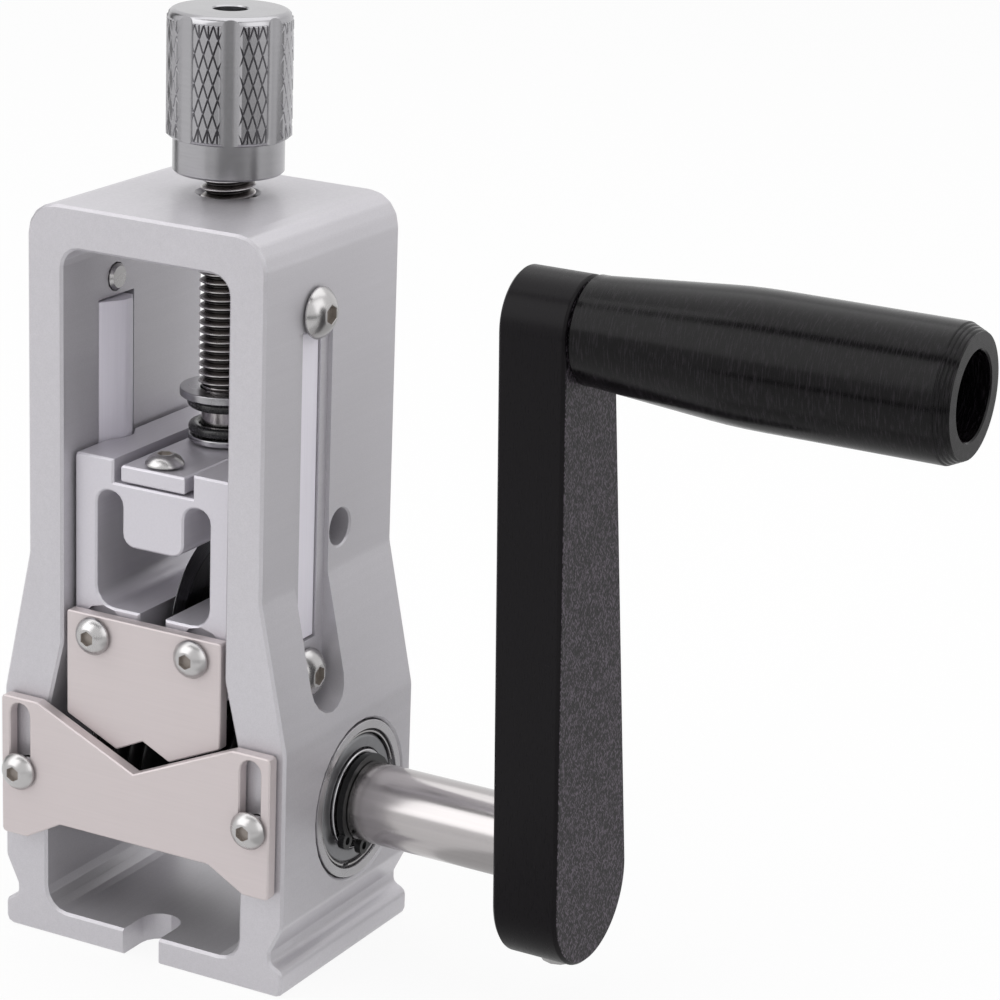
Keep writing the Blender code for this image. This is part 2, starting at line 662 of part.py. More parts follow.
def strip_outline(side):
    """Return the guide strip's T section with its ridge towards the carriage, as (x, y) corners."""
    flange_half = SIDE_SLOT_WIDTH / 2 - RUNNING_GAP
    neck_half = STRIP_NECK_WIDTH / 2
    flange_x = STRIP_SLOT_X - SEAT_GAP
    neck_x = SIDE_POCKET_X - STRIP_NECK_RECESS
    ridge_x = WINDOW_FACE_X - STRIP_RIDGE_HEIGHT
    ridge_half = STRIP_RIDGE_FLAT / 2
    corners = [(ridge_x, -ridge_half), (WINDOW_FACE_X, -flange_half), (flange_x, -flange_half),
               (flange_x, -neck_half), (neck_x, -neck_half), (neck_x, neck_half),
               (flange_x, neck_half), (flange_x, flange_half), (WINDOW_FACE_X, flange_half),
               (ridge_x, ridge_half)]
    return [Vector((side * x, SIDE_SLOT_Y + y)) for x, y in corners]


def make_guide_strip(side):
    """Make one guide strip, with the rear top corner of its flange clipped."""
    name = "left" if side < 0 else "right"
    strip = flat_piece("guide_strip_" + name, [strip_outline(side)],
                       (STRIP_BOTTOM_Z, STRIP_TOP_Z), ALONG_Z, 0, "bright_strip")
    rear_y = SIDE_SLOT_Y + SIDE_SLOT_WIDTH / 2
    clip = [Vector((rear_y - STRIP_CLIP, STRIP_TOP_Z + OVERRUN)),
            Vector((rear_y - STRIP_CLIP, STRIP_TOP_Z)),
            Vector((rear_y + STRIP_CLIP, STRIP_TOP_Z - STRIP_CLIP_DROP)),
            Vector((rear_y + OVERRUN, STRIP_TOP_Z + OVERRUN))]
    inner = WINDOW_FACE_X - STRIP_RIDGE_HEIGHT - OVERRUN
    span = tuple(sorted((side * inner, side * (WALL_FACE_X + OVERRUN))))
    return cut(strip, [flat_piece("cut_strip_clip_" + name, [clip], span, ALONG_X, 0, None)])


def make_side_screws(side):
    """Make the upper and lower cross screws of one wall, which trap the guide strip's ends."""
    name = "left" if side < 0 else "right"
    made = []
    for level, z, seat_x in (("upper", SIDE_SCREW_UPPER_Z, WALL_FACE_X),
                             ("lower", SIDE_SCREW_LOWER_Z, SIDE_POCKET_X)):
        tip = SIDE_SCREW_TIP_OUT if level == "upper" else -SIDE_SCREW_TIP_OUT
        seat = seat_x + SEAT_GAP
        made.append(button_screw("side_screw_" + level + "_" + name, SIDE_SCREW,
                                 seat - WINDOW_FACE_X + tip,
                                 facing((side * seat, SIDE_SLOT_Y, z), (side, 0, 0))))
    return made


def make_lower_guide_plate():
    """Make the sliding plate in front: V edge on top, a slot at each end, arched lower edge."""
    half = LOWER_PLATE_WIDTH / 2
    outline = rounded_outline(mirrored([
        (LOWER_PLATE_MIDDLE_START, LOWER_PLATE_MIDDLE_Z, LOWER_PLATE_CORNER),
        (LOWER_PLATE_END_START, LOWER_PLATE_END_Z, LOWER_PLATE_CORNER),
        (half, LOWER_PLATE_END_Z, LOWER_PLATE_CORNER),
        (half, LOWER_PLATE_TOP_Z, LOWER_PLATE_CORNER),
        (LOWER_PLATE_V_WIDTH / 2, LOWER_PLATE_TOP_Z, LOWER_PLATE_CORNER),
    ], [(0, LOWER_PLATE_V_Z, 0)]))
    outlines = [outline]
    slot_half = PLATE_SLOT_WIDTH / 2
    for side in (-1, 1):
        low = (side * PLATE_SLOT_X - slot_half, PLATE_SCREW_Z - slot_half)
        high = (side * PLATE_SLOT_X + slot_half, PLATE_SCREW_Z + PLATE_SLOT_TRAVEL + slot_half)
        outlines.append(rounded_outline(box_corners(low, high, slot_half * FULL_ROUND_SHARE))[::-1])
    back_y = FRAME_FRONT_Y - SEAT_GAP
    return flat_piece("lower_guide_plate", outlines, (back_y - GUIDE_PLATE_THICKNESS, back_y),
                      ALONG_Y, GUIDE_PLATE_CHAMFER, "guide_plate_steel")


def make_lower_plate_screws():
    """Make the two screws that clamp the sliding plate to the frame."""
    seat_y = FRAME_FRONT_Y - GUIDE_PLATE_THICKNESS - SEAT_GAP * 2
    length = GUIDE_PLATE_THICKNESS + FRONT_SCREW_LENGTH - SEAT_GAP
    return [button_screw("lower_plate_screw_" + name, SMALL_SCREW, length,
                         facing((side * PLATE_SLOT_X, seat_y, PLATE_SCREW_Z), (0, -1, 0)))
            for side, name in ((-1, "left"), (1, "right"))]


def make_upper_guide_plate():
    """Make the plate on the carriage, whose lower edge is a V with a notch for the wire."""
    half = UPPER_PLATE_WIDTH / 2
    right = [
        (UPPER_PLATE_FOOT_X, UPPER_PLATE_FOOT_Z, UPPER_PLATE_CORNER),
        (half, UPPER_PLATE_SIDE_Z, UPPER_PLATE_CORNER),
        (half, UPPER_PLATE_TOP_Z, UPPER_PLATE_CORNER),
    ]
    outline = rounded_outline(mirrored(right) + [(0, UPPER_PLATE_NOTCH_Z, 0)])
    holes = [[Vector((side * UPPER_PLATE_SCREW_X, UPPER_PLATE_SCREW_Z))
              + Matrix.Rotation(-2 * math.pi * step / SMALL_ROUND_STEPS, 2)
              @ Vector((SMALL_SCREW["shank"] + RUNNING_GAP, 0))
              for step in range(SMALL_ROUND_STEPS)] for side in (-1, 1)]
    back_y = CARRIAGE_FRONT_Y - SEAT_GAP
    return flat_piece("upper_guide_plate", [outline] + [hole[::-1] for hole in holes],
                      (back_y - GUIDE_PLATE_THICKNESS, back_y), ALONG_Y,
                      GUIDE_PLATE_CHAMFER, "guide_plate_steel")


def make_upper_plate_screws():
    """Make the two screws that hold the upper plate on the carriage."""
    seat_y = CARRIAGE_FRONT_Y - GUIDE_PLATE_THICKNESS - SEAT_GAP * 2
    length = GUIDE_PLATE_THICKNESS + CARRIAGE_SCREW_LENGTH
    return [button_screw("upper_plate_screw_" + name, SMALL_SCREW, length,
                         facing((side * UPPER_PLATE_SCREW_X, seat_y, UPPER_PLATE_SCREW_Z), (0, -1, 0)))
            for side, name in ((-1, "left"), (1, "right"))]


def carriage_outline():
    """Return the carriage seen from the front: channel, two legs, and a window with a boss."""
    return rounded_outline(mirrored([
        (CARRIAGE_CHANNEL_WIDTH / 2, CHANNEL_FLOOR_Z, 0),
        (CARRIAGE_CHANNEL_WIDTH / 2, CARRIAGE_TOP_Z, 0),
        (CARRIAGE_HALF_WIDTH, CARRIAGE_TOP_Z, CARRIAGE_CORNER_RADIUS),
        (CARRIAGE_HALF_WIDTH, CARRIAGE_BOTTOM_Z, CARRIAGE_CORNER_RADIUS),
        (BLADE_GAP / 2, CARRIAGE_BOTTOM_Z, 0),
        (BLADE_GAP / 2, CARRIAGE_WINDOW_FLOOR_Z, 0),
        (CARRIAGE_WINDOW_WIDTH / 2, CARRIAGE_WINDOW_FLOOR_Z, CARRIAGE_FLOOR_RADIUS),
        (CARRIAGE_WINDOW_WIDTH / 2, CARRIAGE_WINDOW_TOP_Z, CARRIAGE_WINDOW_RADIUS),
        (CARRIAGE_BOSS_WIDTH / 2, CARRIAGE_WINDOW_TOP_Z, CARRIAGE_WINDOW_RADIUS),
        (CARRIAGE_BOSS_WIDTH / 2, CARRIAGE_BOSS_BOTTOM_Z, CARRIAGE_WINDOW_RADIUS),
    ]))


def carriage_groove_cutter(side):
    """Return the cutter of the groove that runs over a guide strip's ridge."""
    name = "left" if side < 0 else "right"
    rise = STRIP_RIDGE_HEIGHT - CARRIAGE_SIDE_GAP
    slope = (SIDE_SLOT_WIDTH / 2 - RUNNING_GAP - STRIP_RIDGE_FLAT / 2) / STRIP_RIDGE_HEIGHT
    floor_half = STRIP_RIDGE_FLAT / 2 + SEAT_GAP
    mouth_half = floor_half + (rise + SEAT_GAP + OVERRUN) * slope
    floor_x = WINDOW_FACE_X - STRIP_RIDGE_HEIGHT - SEAT_GAP
    mouth_x = CARRIAGE_HALF_WIDTH + OVERRUN
    section = [Vector((side * floor_x, SIDE_SLOT_Y - floor_half)),
               Vector((side * mouth_x, SIDE_SLOT_Y - mouth_half)),
               Vector((side * mouth_x, SIDE_SLOT_Y + mouth_half)),
               Vector((side * floor_x, SIDE_SLOT_Y + floor_half))]
    return flat_piece("cut_carriage_groove_" + name, [section],
                      (CARRIAGE_BOTTOM_Z - OVERRUN, CARRIAGE_TOP_Z + OVERRUN), ALONG_Z, 0, None)


def retainer_screw_places():
    """Return the front and rear places of the retaining plate's screws, with their names."""
    reach = CARRIAGE_LENGTH / 2 - RETAINER_SCREW_INSET
    return (("front", -reach), ("rear", reach))


def make_carriage():
    """Make the carriage with its grooves, axle hole, foot pocket and screw holes."""
    carriage = flat_piece("carriage_block", [carriage_outline()],
                          (CARRIAGE_FRONT_Y, -CARRIAGE_FRONT_Y), ALONG_Y, CARRIAGE_EDGE_CHAMFER,
                          "machined_aluminium")
    cutters = [carriage_groove_cutter(-1), carriage_groove_cutter(1)]
    cutters.append(straight_cutter("cut_axle", BLADE_AXLE_RADIUS + RUNNING_GAP,
                                   -CARRIAGE_HALF_WIDTH - OVERRUN, CARRIAGE_HALF_WIDTH + OVERRUN,
                                   on_x(0, MECHANISM_Y, BLADE_AXLE_Z), SMALL_ROUND_STEPS))
    cutters.append(straight_cutter("cut_foot_pocket", SCREW_FOOT_RADIUS + SEAT_GAP,
                                   -SCREW_FOOT_POCKET_DEPTH, OVERRUN,
                                   Matrix.Translation((0, MECHANISM_Y, CHANNEL_FLOOR_Z))))
    hole = SMALL_SCREW["shank"] + RUNNING_GAP
    for name, y in retainer_screw_places():
        cutters.append(straight_cutter("cut_retainer_screw_" + name, hole,
                                       -CARRIAGE_SCREW_LENGTH, OVERRUN,
                                       Matrix.Translation((0, y, CHANNEL_FLOOR_Z)), SMALL_ROUND_STEPS))
    for side in (-1, 1):
        front = facing((side * UPPER_PLATE_SCREW_X, CARRIAGE_FRONT_Y, UPPER_PLATE_SCREW_Z), (0, -1, 0))
        cutters.append(straight_cutter("cut_plate_screw", hole, -CARRIAGE_SCREW_LENGTH, OVERRUN,
                                       front, SMALL_ROUND_STEPS))
        cutters.append(straight_cutter("cut_plate_pocket", UPPER_PLATE_POCKET_RADIUS,
                                       -UPPER_PLATE_POCKET_DEPTH, OVERRUN, front, SMALL_ROUND_STEPS))
    return cut(carriage, cutters)


def make_retainer():
    """Make the plate in the carriage's channel that keeps the lead screw's foot down."""
    half = RETAINER_WIDTH / 2
    plate = flat_piece("retaining_plate",
                       [rounded_outline(box_corners((-half, CARRIAGE_FRONT_Y),
                                                    (half, -CARRIAGE_FRONT_Y), 0))],
                       (RETAINER_BOTTOM_Z, RETAINER_TOP_Z), ALONG_Z, CARRIAGE_EDGE_CHAMFER,
                       "machined_aluminium")
    low = RETAINER_BOTTOM_Z - OVERRUN
    high = RETAINER_TOP_Z + OVERRUN
    cutters = [straight_cutter("cut_neck_hole", SCREW_NECK_RADIUS + RUNNING_GAP, low, high,
                               Matrix.Translation((0, MECHANISM_Y, 0)))]
    screws = []
    for name, y in retainer_screw_places():
        cutters.append(straight_cutter("cut_retainer_hole_" + name, SMALL_SCREW["shank"] + RUNNING_GAP,
                                       low, high, Matrix.Translation((0, y, 0)), SMALL_ROUND_STEPS))
        screws.append(button_screw("retaining_screw_" + name, SMALL_SCREW,
                                   RETAINER_THICKNESS + CARRIAGE_SCREW_LENGTH,
                                   Matrix.Translation((0, y, RETAINER_TOP_Z + SEAT_GAP))))
    return [cut(plate, cutters)] + screws


def make_blade_parts():
    """Make the blade's axle, the round blade, and a spacer on each side of it."""
    centre = on_x(0, MECHANISM_Y, BLADE_AXLE_Z)
    reach = CARRIAGE_HALF_WIDTH - BLADE_AXLE_END_GAP
    axle = turned_piece("blade_axle", rod_profile(BLADE_AXLE_RADIUS, -reach, reach, SHAFT_CHAMFER),
                        centre, SMALL_ROUND_STEPS, "polished_steel")
    bore = BLADE_AXLE_RADIUS + RUNNING_GAP
    half = BLADE_THICKNESS / 2
    edge = BLADE_EDGE_THICKNESS / 2
    bevel = BLADE_RADIUS - BLADE_BEVEL_WIDTH
    blade = turned_piece("cutting_blade",
                         [(bore, half), (bevel, half), (BLADE_RADIUS, edge), (BLADE_RADIUS, -edge),
                          (bevel, -half), (bore, -half)], centre, BIG_ROUND_STEPS, "blade_steel")
    spacers = []
    for side, name in ((-1, "left"), (1, "right")):
        ends = sorted((side * (half + BLADE_SPACER_GAP), side * (BLADE_GAP / 2 - BLADE_SPACER_GAP)))
        spacers.append(turned_piece("blade_spacer_" + name,
                                    ring_profile(bore, BLADE_SPACER_RADIUS, ends[0], ends[1],
                                                 BLADE_SPACER_GAP),
                                    centre, SMALL_ROUND_STEPS, "polished_steel"))
    return axle, blade, spacers


def thread_rod(name, low, high, finish, place):
    """Make a screw thread by winding a zigzag profile, with flat ends cut square."""
    root = LEAD_SCREW_RADIUS - LEAD_SCREW_THREAD_DEPTH
    turns = math.ceil((high - low) / LEAD_SCREW_PITCH) + LEAD_SCREW_SPARE_TURNS
    half_pitch = LEAD_SCREW_PITCH / 2
    start = low - LEAD_SCREW_SPARE_TURNS * half_pitch
    shape = bmesh.new()
    points = [(0, start)]
    for turn in range(turns):
        points.append((root, start + turn * LEAD_SCREW_PITCH))
        points.append((LEAD_SCREW_RADIUS, start + turn * LEAD_SCREW_PITCH + half_pitch))
    points.append((root, start + turns * LEAD_SCREW_PITCH))
    points.append((0, start + turns * LEAD_SCREW_PITCH))
    verts = [shape.verts.new((radius, 0, height)) for radius, height in points]
    edges = [shape.edges.new(pair) for pair in zip(verts, verts[1:])]
    steps = LEAD_SCREW_STEPS_PER_TURN
    bmesh.ops.spin(shape, geom=verts + edges, cent=(0, 0, 0), axis=(0, 0, 1),
                   dvec=(0, 0, LEAD_SCREW_PITCH / steps), angle=2 * math.pi, steps=steps)
    bmesh.ops.remove_doubles(shape, verts=shape.verts, dist=MERGE_DISTANCE)
    bmesh.ops.holes_fill(shape, edges=[edge for edge in shape.edges if edge.is_boundary], sides=0)
    bmesh.ops.recalc_face_normals(shape, faces=shape.faces)
    mesh = bpy.data.meshes.new(name)
    shape.to_mesh(mesh)
    shape.free()
    rod = add_object(name, mesh, finish, place)
    trim = straight_cutter("trim_" + name, LEAD_SCREW_RADIUS + OVERRUN, low, high, place)
    return cut(rod, [trim], "INTERSECT")


def make_lead_screw():
    """Make the lead screw, its foot, the rings on its neck and the adjusting knob."""
    place = Matrix.Translation((0, MECHANISM_Y, 0))
    lower_ring_z = RETAINER_TOP_Z + SEAT_GAP
    lower_black_z = lower_ring_z + LOWER_THRUST_RING_THICKNESS + RUNNING_GAP
    upper_black_z = lower_black_z + LOWER_BLACK_RING_THICKNESS + NECK_SHOWING
    washer_z = upper_black_z + UPPER_BLACK_RING_THICKNESS + RUNNING_GAP
    thread_z = washer_z + FLANGE_WASHER_THICKNESS + RUNNING_GAP
    foot_top_z = CHANNEL_FLOOR_Z - SEAT_GAP
    foot_bottom_z = foot_top_z - SCREW_FOOT_THICKNESS
    top_z = KNOB_BOTTOM_Z + LEAD_SCREW_IN_KNOB
    bore = SCREW_NECK_RADIUS + RUNNING_GAP

    screw = thread_rod("lead_screw", thread_z, KNOB_BOTTOM_Z + LEAD_SCREW_PITCH, "dark_screw_steel",
                       place)
    plain = straight_cutter("join_plain_end", LEAD_SCREW_PLAIN_RADIUS, KNOB_BOTTOM_Z, top_z, place)
    neck = straight_cutter("join_neck", SCREW_NECK_RADIUS, foot_bottom_z + SCREW_FOOT_THICKNESS / 2,
                           thread_z + LEAD_SCREW_PITCH, place)
    tip = straight_cutter("join_tip", LEAD_SCREW_TIP_RADIUS, foot_bottom_z,
                          foot_top_z, place, SMALL_ROUND_STEPS)
    cut(screw, [plain, neck, tip], "UNION")

    foot_profile = [(LEAD_SCREW_TIP_RADIUS + RUNNING_GAP, foot_bottom_z + SCREW_FOOT_THICKNESS / 2
                     - RUNNING_GAP),
                    (SCREW_FOOT_RADIUS, foot_bottom_z + SCREW_FOOT_THICKNESS / 2 - RUNNING_GAP),
                    (SCREW_FOOT_RADIUS, foot_bottom_z), (LEAD_SCREW_TIP_RADIUS + RUNNING_GAP,
                                                         foot_bottom_z)]
    foot = turned_piece("lead_screw_foot", foot_profile, place, SMALL_ROUND_STEPS, "polished_steel")

    rings = []
    for name, radius, z, thickness, finish in (
            ("lower_thrust_ring", LOWER_THRUST_RING_RADIUS, lower_ring_z,
             LOWER_THRUST_RING_THICKNESS, "polished_steel"),
            ("lower_black_ring", LOWER_BLACK_RING_RADIUS, lower_black_z,
             LOWER_BLACK_RING_THICKNESS, "black_rubber"),
            ("upper_black_ring", UPPER_BLACK_RING_RADIUS, upper_black_z,
             UPPER_BLACK_RING_THICKNESS, "black_rubber"),
            ("flange_washer", FLANGE_WASHER_RADIUS, washer_z,
             FLANGE_WASHER_THICKNESS, "dark_screw_steel")):
        rings.append(turned_piece(name, ring_profile(bore, radius, z, z + thickness, RING_EDGE),
                                  place, ROUND_STEPS, finish))
    return screw, foot, rings


def make_knob():
    """Make the fluted knob with its plain collar, blind bore and small hole in the top."""
    place = Matrix.Translation((0, MECHANISM_Y, KNOB_BOTTOM_Z))
    top = KNOB_COLLAR_HEIGHT + KNOB_GRIP_HEIGHT
    bore = LEAD_SCREW_RADIUS + RUNNING_GAP
    bore_top = LEAD_SCREW_IN_KNOB + SEAT_GAP
    profile = [(KNOB_TOP_HOLE_RADIUS, top), (KNOB_RADIUS - KNOB_EDGE, top),
               (KNOB_RADIUS - KNOB_EDGE * KNOB_EDGE_SHARE, top - KNOB_EDGE * KNOB_EDGE_SHARE),
               (KNOB_RADIUS, top - KNOB_EDGE),
               (KNOB_RADIUS, KNOB_COLLAR_HEIGHT + RING_EDGE),
               (KNOB_RADIUS - RING_EDGE, KNOB_COLLAR_HEIGHT),
               (KNOB_COLLAR_RADIUS, KNOB_COLLAR_HEIGHT), (KNOB_COLLAR_RADIUS, RING_EDGE),
               (KNOB_COLLAR_RADIUS - RING_EDGE, 0), (bore, 0), (bore, bore_top),
               (KNOB_TOP_HOLE_RADIUS, bore_top)]
    knob = turned_piece("adjusting_knob", profile, place, BIG_ROUND_STEPS, "knob_steel")
    half = KNOB_FLUTE_WIDTH / 2
    chord = math.sqrt(KNOB_RADIUS ** 2 - half ** 2)
    distance = chord + math.sqrt(KNOB_FLUTE_RADIUS ** 2 - half ** 2)
    flutes = []
    for index in range(KNOB_FLUTE_COUNT):
        angle = 2 * math.pi * index / KNOB_FLUTE_COUNT + math.radians(KNOB_FLUTE_TURN_DEGREES)
        turned = place @ Matrix.Rotation(angle, 4, "Z") @ Matrix.Translation((0, -distance, 0))
        flutes.append(straight_cutter("cut_flute", KNOB_FLUTE_RADIUS,
                                      KNOB_COLLAR_HEIGHT - KNOB_FLUTE_RUN_OUT, top + OVERRUN,
                                      turned, SMALL_ROUND_STEPS))
    return cut(knob, flutes)


def make_bearing(side):
    """Make one ball bearing: outer ring, inner ring, and a cage with its balls."""
    name = "left" if side < 0 else "right"
    middle = side * (BASE_FACE_X - BEARING_WIDTH / 2)
    place = on_x(middle, MECHANISM_Y, SHAFT_Z)
    half = BEARING_WIDTH / 2
    pitch_radius = (BEARING_INNER_OUTSIDE_RADIUS + BEARING_OUTER_INSIDE_RADIUS) / 2
    track = BEARING_BALL_RADIUS + RUNNING_GAP
    lip = track * BEARING_TRACK_SHARE
    outer = turned_piece("bearing_outer_ring_" + name, [
        (BEARING_OUTER_INSIDE_RADIUS, half), (BEARING_RADIUS - BEARING_EDGE, half),
        (BEARING_RADIUS, half - BEARING_EDGE), (BEARING_RADIUS, BEARING_EDGE - half),
        (BEARING_RADIUS - BEARING_EDGE, -half), (BEARING_OUTER_INSIDE_RADIUS, -half),
        (BEARING_OUTER_INSIDE_RADIUS, -lip),
        (pitch_radius + track + RUNNING_GAP, 0), (BEARING_OUTER_INSIDE_RADIUS, lip)],
        place, ROUND_STEPS, "polished_steel")
    inner = turned_piece("bearing_inner_ring_" + name, [
        (BEARING_BORE_RADIUS, half), (BEARING_INNER_OUTSIDE_RADIUS, half),
        (BEARING_INNER_OUTSIDE_RADIUS, lip), (pitch_radius - track - RUNNING_GAP, 0),
        (BEARING_INNER_OUTSIDE_RADIUS, -lip), (BEARING_INNER_OUTSIDE_RADIUS, -half),
        (BEARING_BORE_RADIUS, -half)],
        place, ROUND_STEPS, "polished_steel")
    cage_half = BEARING_CAGE_WIDTH / 2
    cage = turned_piece("bearing_cage_" + name, ring_profile(
        pitch_radius - BEARING_CAGE_WALL, pitch_radius + BEARING_CAGE_WALL,
        -cage_half, cage_half, 0), place, BEARING_BALL_COUNT * BEARING_CAGE_STEPS_PER_BALL,
        "polished_steel")
    mesh = bpy.data.meshes.new("ball")
    shape = bmesh.new()
    bmesh.ops.create_icosphere(shape, subdivisions=BEARING_BALL_LEVEL, radius=BEARING_BALL_RADIUS)
    shape.to_mesh(mesh)
    shape.free()
    balls = []
    for index in range(BEARING_BALL_COUNT):
        angle = math.pi * (2 * index + 1) / BEARING_BALL_COUNT
        turned = place @ Matrix.Rotation(angle, 4, "Z") @ Matrix.Translation((pitch_radius, 0, 0))
        balls.append(add_object("join_ball_" + name, mesh, None, turned))
    return outer, inner, cut(cage, balls, "UNION")


def circlip_groove_x(side):
    """Return the middle of the circlip's groove on one side."""
    return side * (BASE_FACE_X + SEAT_GAP + CIRCLIP_THICKNESS / 2)


def make_circlip(side):
    """Make the spring clip outside one bearing: an open ring with an eye at each end."""
    name = "left" if side < 0 else "right"
    inner = SHAFT_RADIUS - CIRCLIP_GROOVE_DEPTH + RUNNING_GAP
    outer = SHAFT_RADIUS + CIRCLIP_WALL - CIRCLIP_GROOVE_DEPTH
    x = circlip_groove_x(side)
    half = CIRCLIP_THICKNESS / 2
    ring = turned_piece("shaft_circlip_" + name,
                        ring_profile(inner, outer, -half, half, 0),
                        on_x(x, MECHANISM_Y, SHAFT_Z), ROUND_STEPS, "black_oxide_steel")
    mouth = math.radians(CIRCLIP_MOUTH_DEGREES / 2)
    reach = outer + OVERRUN
    wedge = [Vector((0, 0)), Vector((-reach * math.tan(mouth), -reach)),
             Vector((reach * math.tan(mouth), -reach))]
    wedge = [point + Vector((MECHANISM_Y, SHAFT_Z)) for point in wedge]
    cut(ring, [flat_piece("cut_clip_mouth_" + name, [wedge], (x - OVERRUN, x + OVERRUN),
                          ALONG_X, 0, None)])
    eye_radius = (inner + outer) / 2 + CIRCLIP_LUG_RADIUS * CIRCLIP_EYE_OUT_SHARE
    eye_turn = mouth * CIRCLIP_EYE_TURN_SHARE
    eyes = []
    holes = []
    for turn in (-eye_turn, eye_turn):
        y = MECHANISM_Y + eye_radius * math.sin(turn)
        z = SHAFT_Z - eye_radius * math.cos(turn)
        eyes.append(straight_cutter("join_clip_eye_" + name, CIRCLIP_LUG_RADIUS, -half, half,
                                    on_x(x, y, z), SMALL_ROUND_STEPS))
        holes.append(straight_cutter("cut_clip_eye_" + name, CIRCLIP_LUG_HOLE_RADIUS, -OVERRUN,
                                     OVERRUN, on_x(x, y, z), SMALL_ROUND_STEPS))
    shaft_space = straight_cutter("cut_clip_shaft_" + name, inner, -OVERRUN, OVERRUN,
                                  on_x(x, MECHANISM_Y, SHAFT_Z))
    cut(ring, eyes, "UNION")
    return cut(ring, holes + [shaft_space])


def make_shaft():
    """Make the drive shaft, with a groove for each circlip and a pin hole under the roller."""
    left_end = -(BASE_FACE_X + SEAT_GAP + CIRCLIP_THICKNESS + SHAFT_FREE_END)
    right_end = ARM_INNER_X + ARM_BORE_DEPTH - SEAT_GAP
    floor = SHAFT_RADIUS - CIRCLIP_GROOVE_DEPTH
    groove_half = CIRCLIP_THICKNESS / 2 + RUNNING_GAP / 2
    profile = [(0, right_end), (SHAFT_RADIUS - SHAFT_CHAMFER, right_end),
               (SHAFT_RADIUS, right_end - SHAFT_CHAMFER)]
    for side in (1, -1):
        x = circlip_groove_x(side)
        profile += [(SHAFT_RADIUS, x + groove_half), (floor, x + groove_half),
                    (floor, x - groove_half), (SHAFT_RADIUS, x - groove_half)]
    profile += [(SHAFT_RADIUS, left_end + SHAFT_CHAMFER), (SHAFT_RADIUS - SHAFT_CHAMFER, left_end),
                (0, left_end)]
    shaft = turned_piece("drive_shaft", profile, on_x(0, MECHANISM_Y, SHAFT_Z), ROUND_STEPS,
                         "polished_steel")
    pin_hole = straight_cutter("cut_shaft_pin", ROLLER_PIN_RADIUS + RUNNING_GAP,
                               -SHAFT_RADIUS - OVERRUN, SHAFT_RADIUS + OVERRUN,
                               roller_pin_place(), SMALL_ROUND_STEPS)
    return cut(shaft, [pin_hole])


def roller_pin_place():
    """Return the place of the cross pin, which stands upright through roller and shaft."""
    x = ROLLER_LENGTH / 2 - ROLLER_PIN_X_FROM_END
    return Matrix.Translation((x, MECHANISM_Y, SHAFT_Z))


def roller_profile():
    """Return the feed roller's profile: ridged rims on both sides of a V groove."""
    half = ROLLER_LENGTH / 2
    right = [(ROLLER_WAIST_RADIUS, ROLLER_WAIST_FLAT / 2),
             (ROLLER_RADIUS - ROLLER_RIDGE_DEPTH / 2, ROLLER_RIM_START - ROLLER_RIDGE_DEPTH / 2),
             (ROLLER_RADIUS, ROLLER_RIM_START + ROLLER_RIDGE_DEPTH / 2)]
    for ridge in range(1, ROLLER_RIDGE_COUNT):
        valley = ROLLER_RIM_START + ROLLER_RIDGE_PITCH * (ridge - 1 + ROLLER_VALLEY_SHARE)
        right.append((ROLLER_RADIUS, valley - ROLLER_RIDGE_DEPTH))
        right.append((ROLLER_RADIUS - ROLLER_RIDGE_DEPTH, valley))
        right.append((ROLLER_RADIUS, valley + ROLLER_RIDGE_DEPTH))
    right += [(ROLLER_RADIUS, half - ROLLER_END_CHAMFER), (ROLLER_RADIUS - ROLLER_END_CHAMFER, half)]
    bore = SHAFT_RADIUS + RUNNING_GAP
    left = [(radius, -x) for radius, x in right]
    return [(bore, half)] + right[::-1] + left + [(bore, -half)]


def make_roller():
    """Make the feed roller and the cross pin that fixes it to the shaft."""
    roller = turned_piece("feed_roller", roller_profile(), on_x(0, MECHANISM_Y, SHAFT_Z),
                          BIG_ROUND_STEPS, "black_oxide_steel")
    reach = ROLLER_RADIUS - ROLLER_END_CHAMFER - SEAT_GAP
    pin_hole = straight_cutter("cut_roller_pin", ROLLER_PIN_RADIUS + RUNNING_GAP,
                               -ROLLER_RADIUS - OVERRUN, ROLLER_RADIUS + OVERRUN,
                               roller_pin_place(), SMALL_ROUND_STEPS)
    pin = turned_piece("roller_pin", rod_profile(ROLLER_PIN_RADIUS, -reach, reach, SEAT_GAP),
                       roller_pin_place(), SMALL_ROUND_STEPS, "polished_steel")
    return cut(roller, [pin_hole]), pin


def arm_outline():
    """Return the arm's tapered outline, as (y, z) points, upright above the shaft."""
    low = Vector((MECHANISM_Y, SHAFT_Z - ARM_BOTTOM_DROP))
    high = Vector((MECHANISM_Y, SHAFT_Z + ARM_REACH))
    tilt = math.asin((ARM_BOTTOM_RADIUS - ARM_TOP_RADIUS) / (high.y - low.y))
    points = []
    for centre, radius, start, sweep in (
            (high, ARM_TOP_RADIUS, tilt, math.pi - 2 * tilt),
            (low, ARM_BOTTOM_RADIUS, math.pi - tilt, math.pi + 2 * tilt)):
        for step in range(ROUND_STEPS // 2 + 1):
            turn = start + sweep * step / (ROUND_STEPS // 2)
            points.append(centre + Vector((math.cos(turn), math.sin(turn))) * radius)
    return points


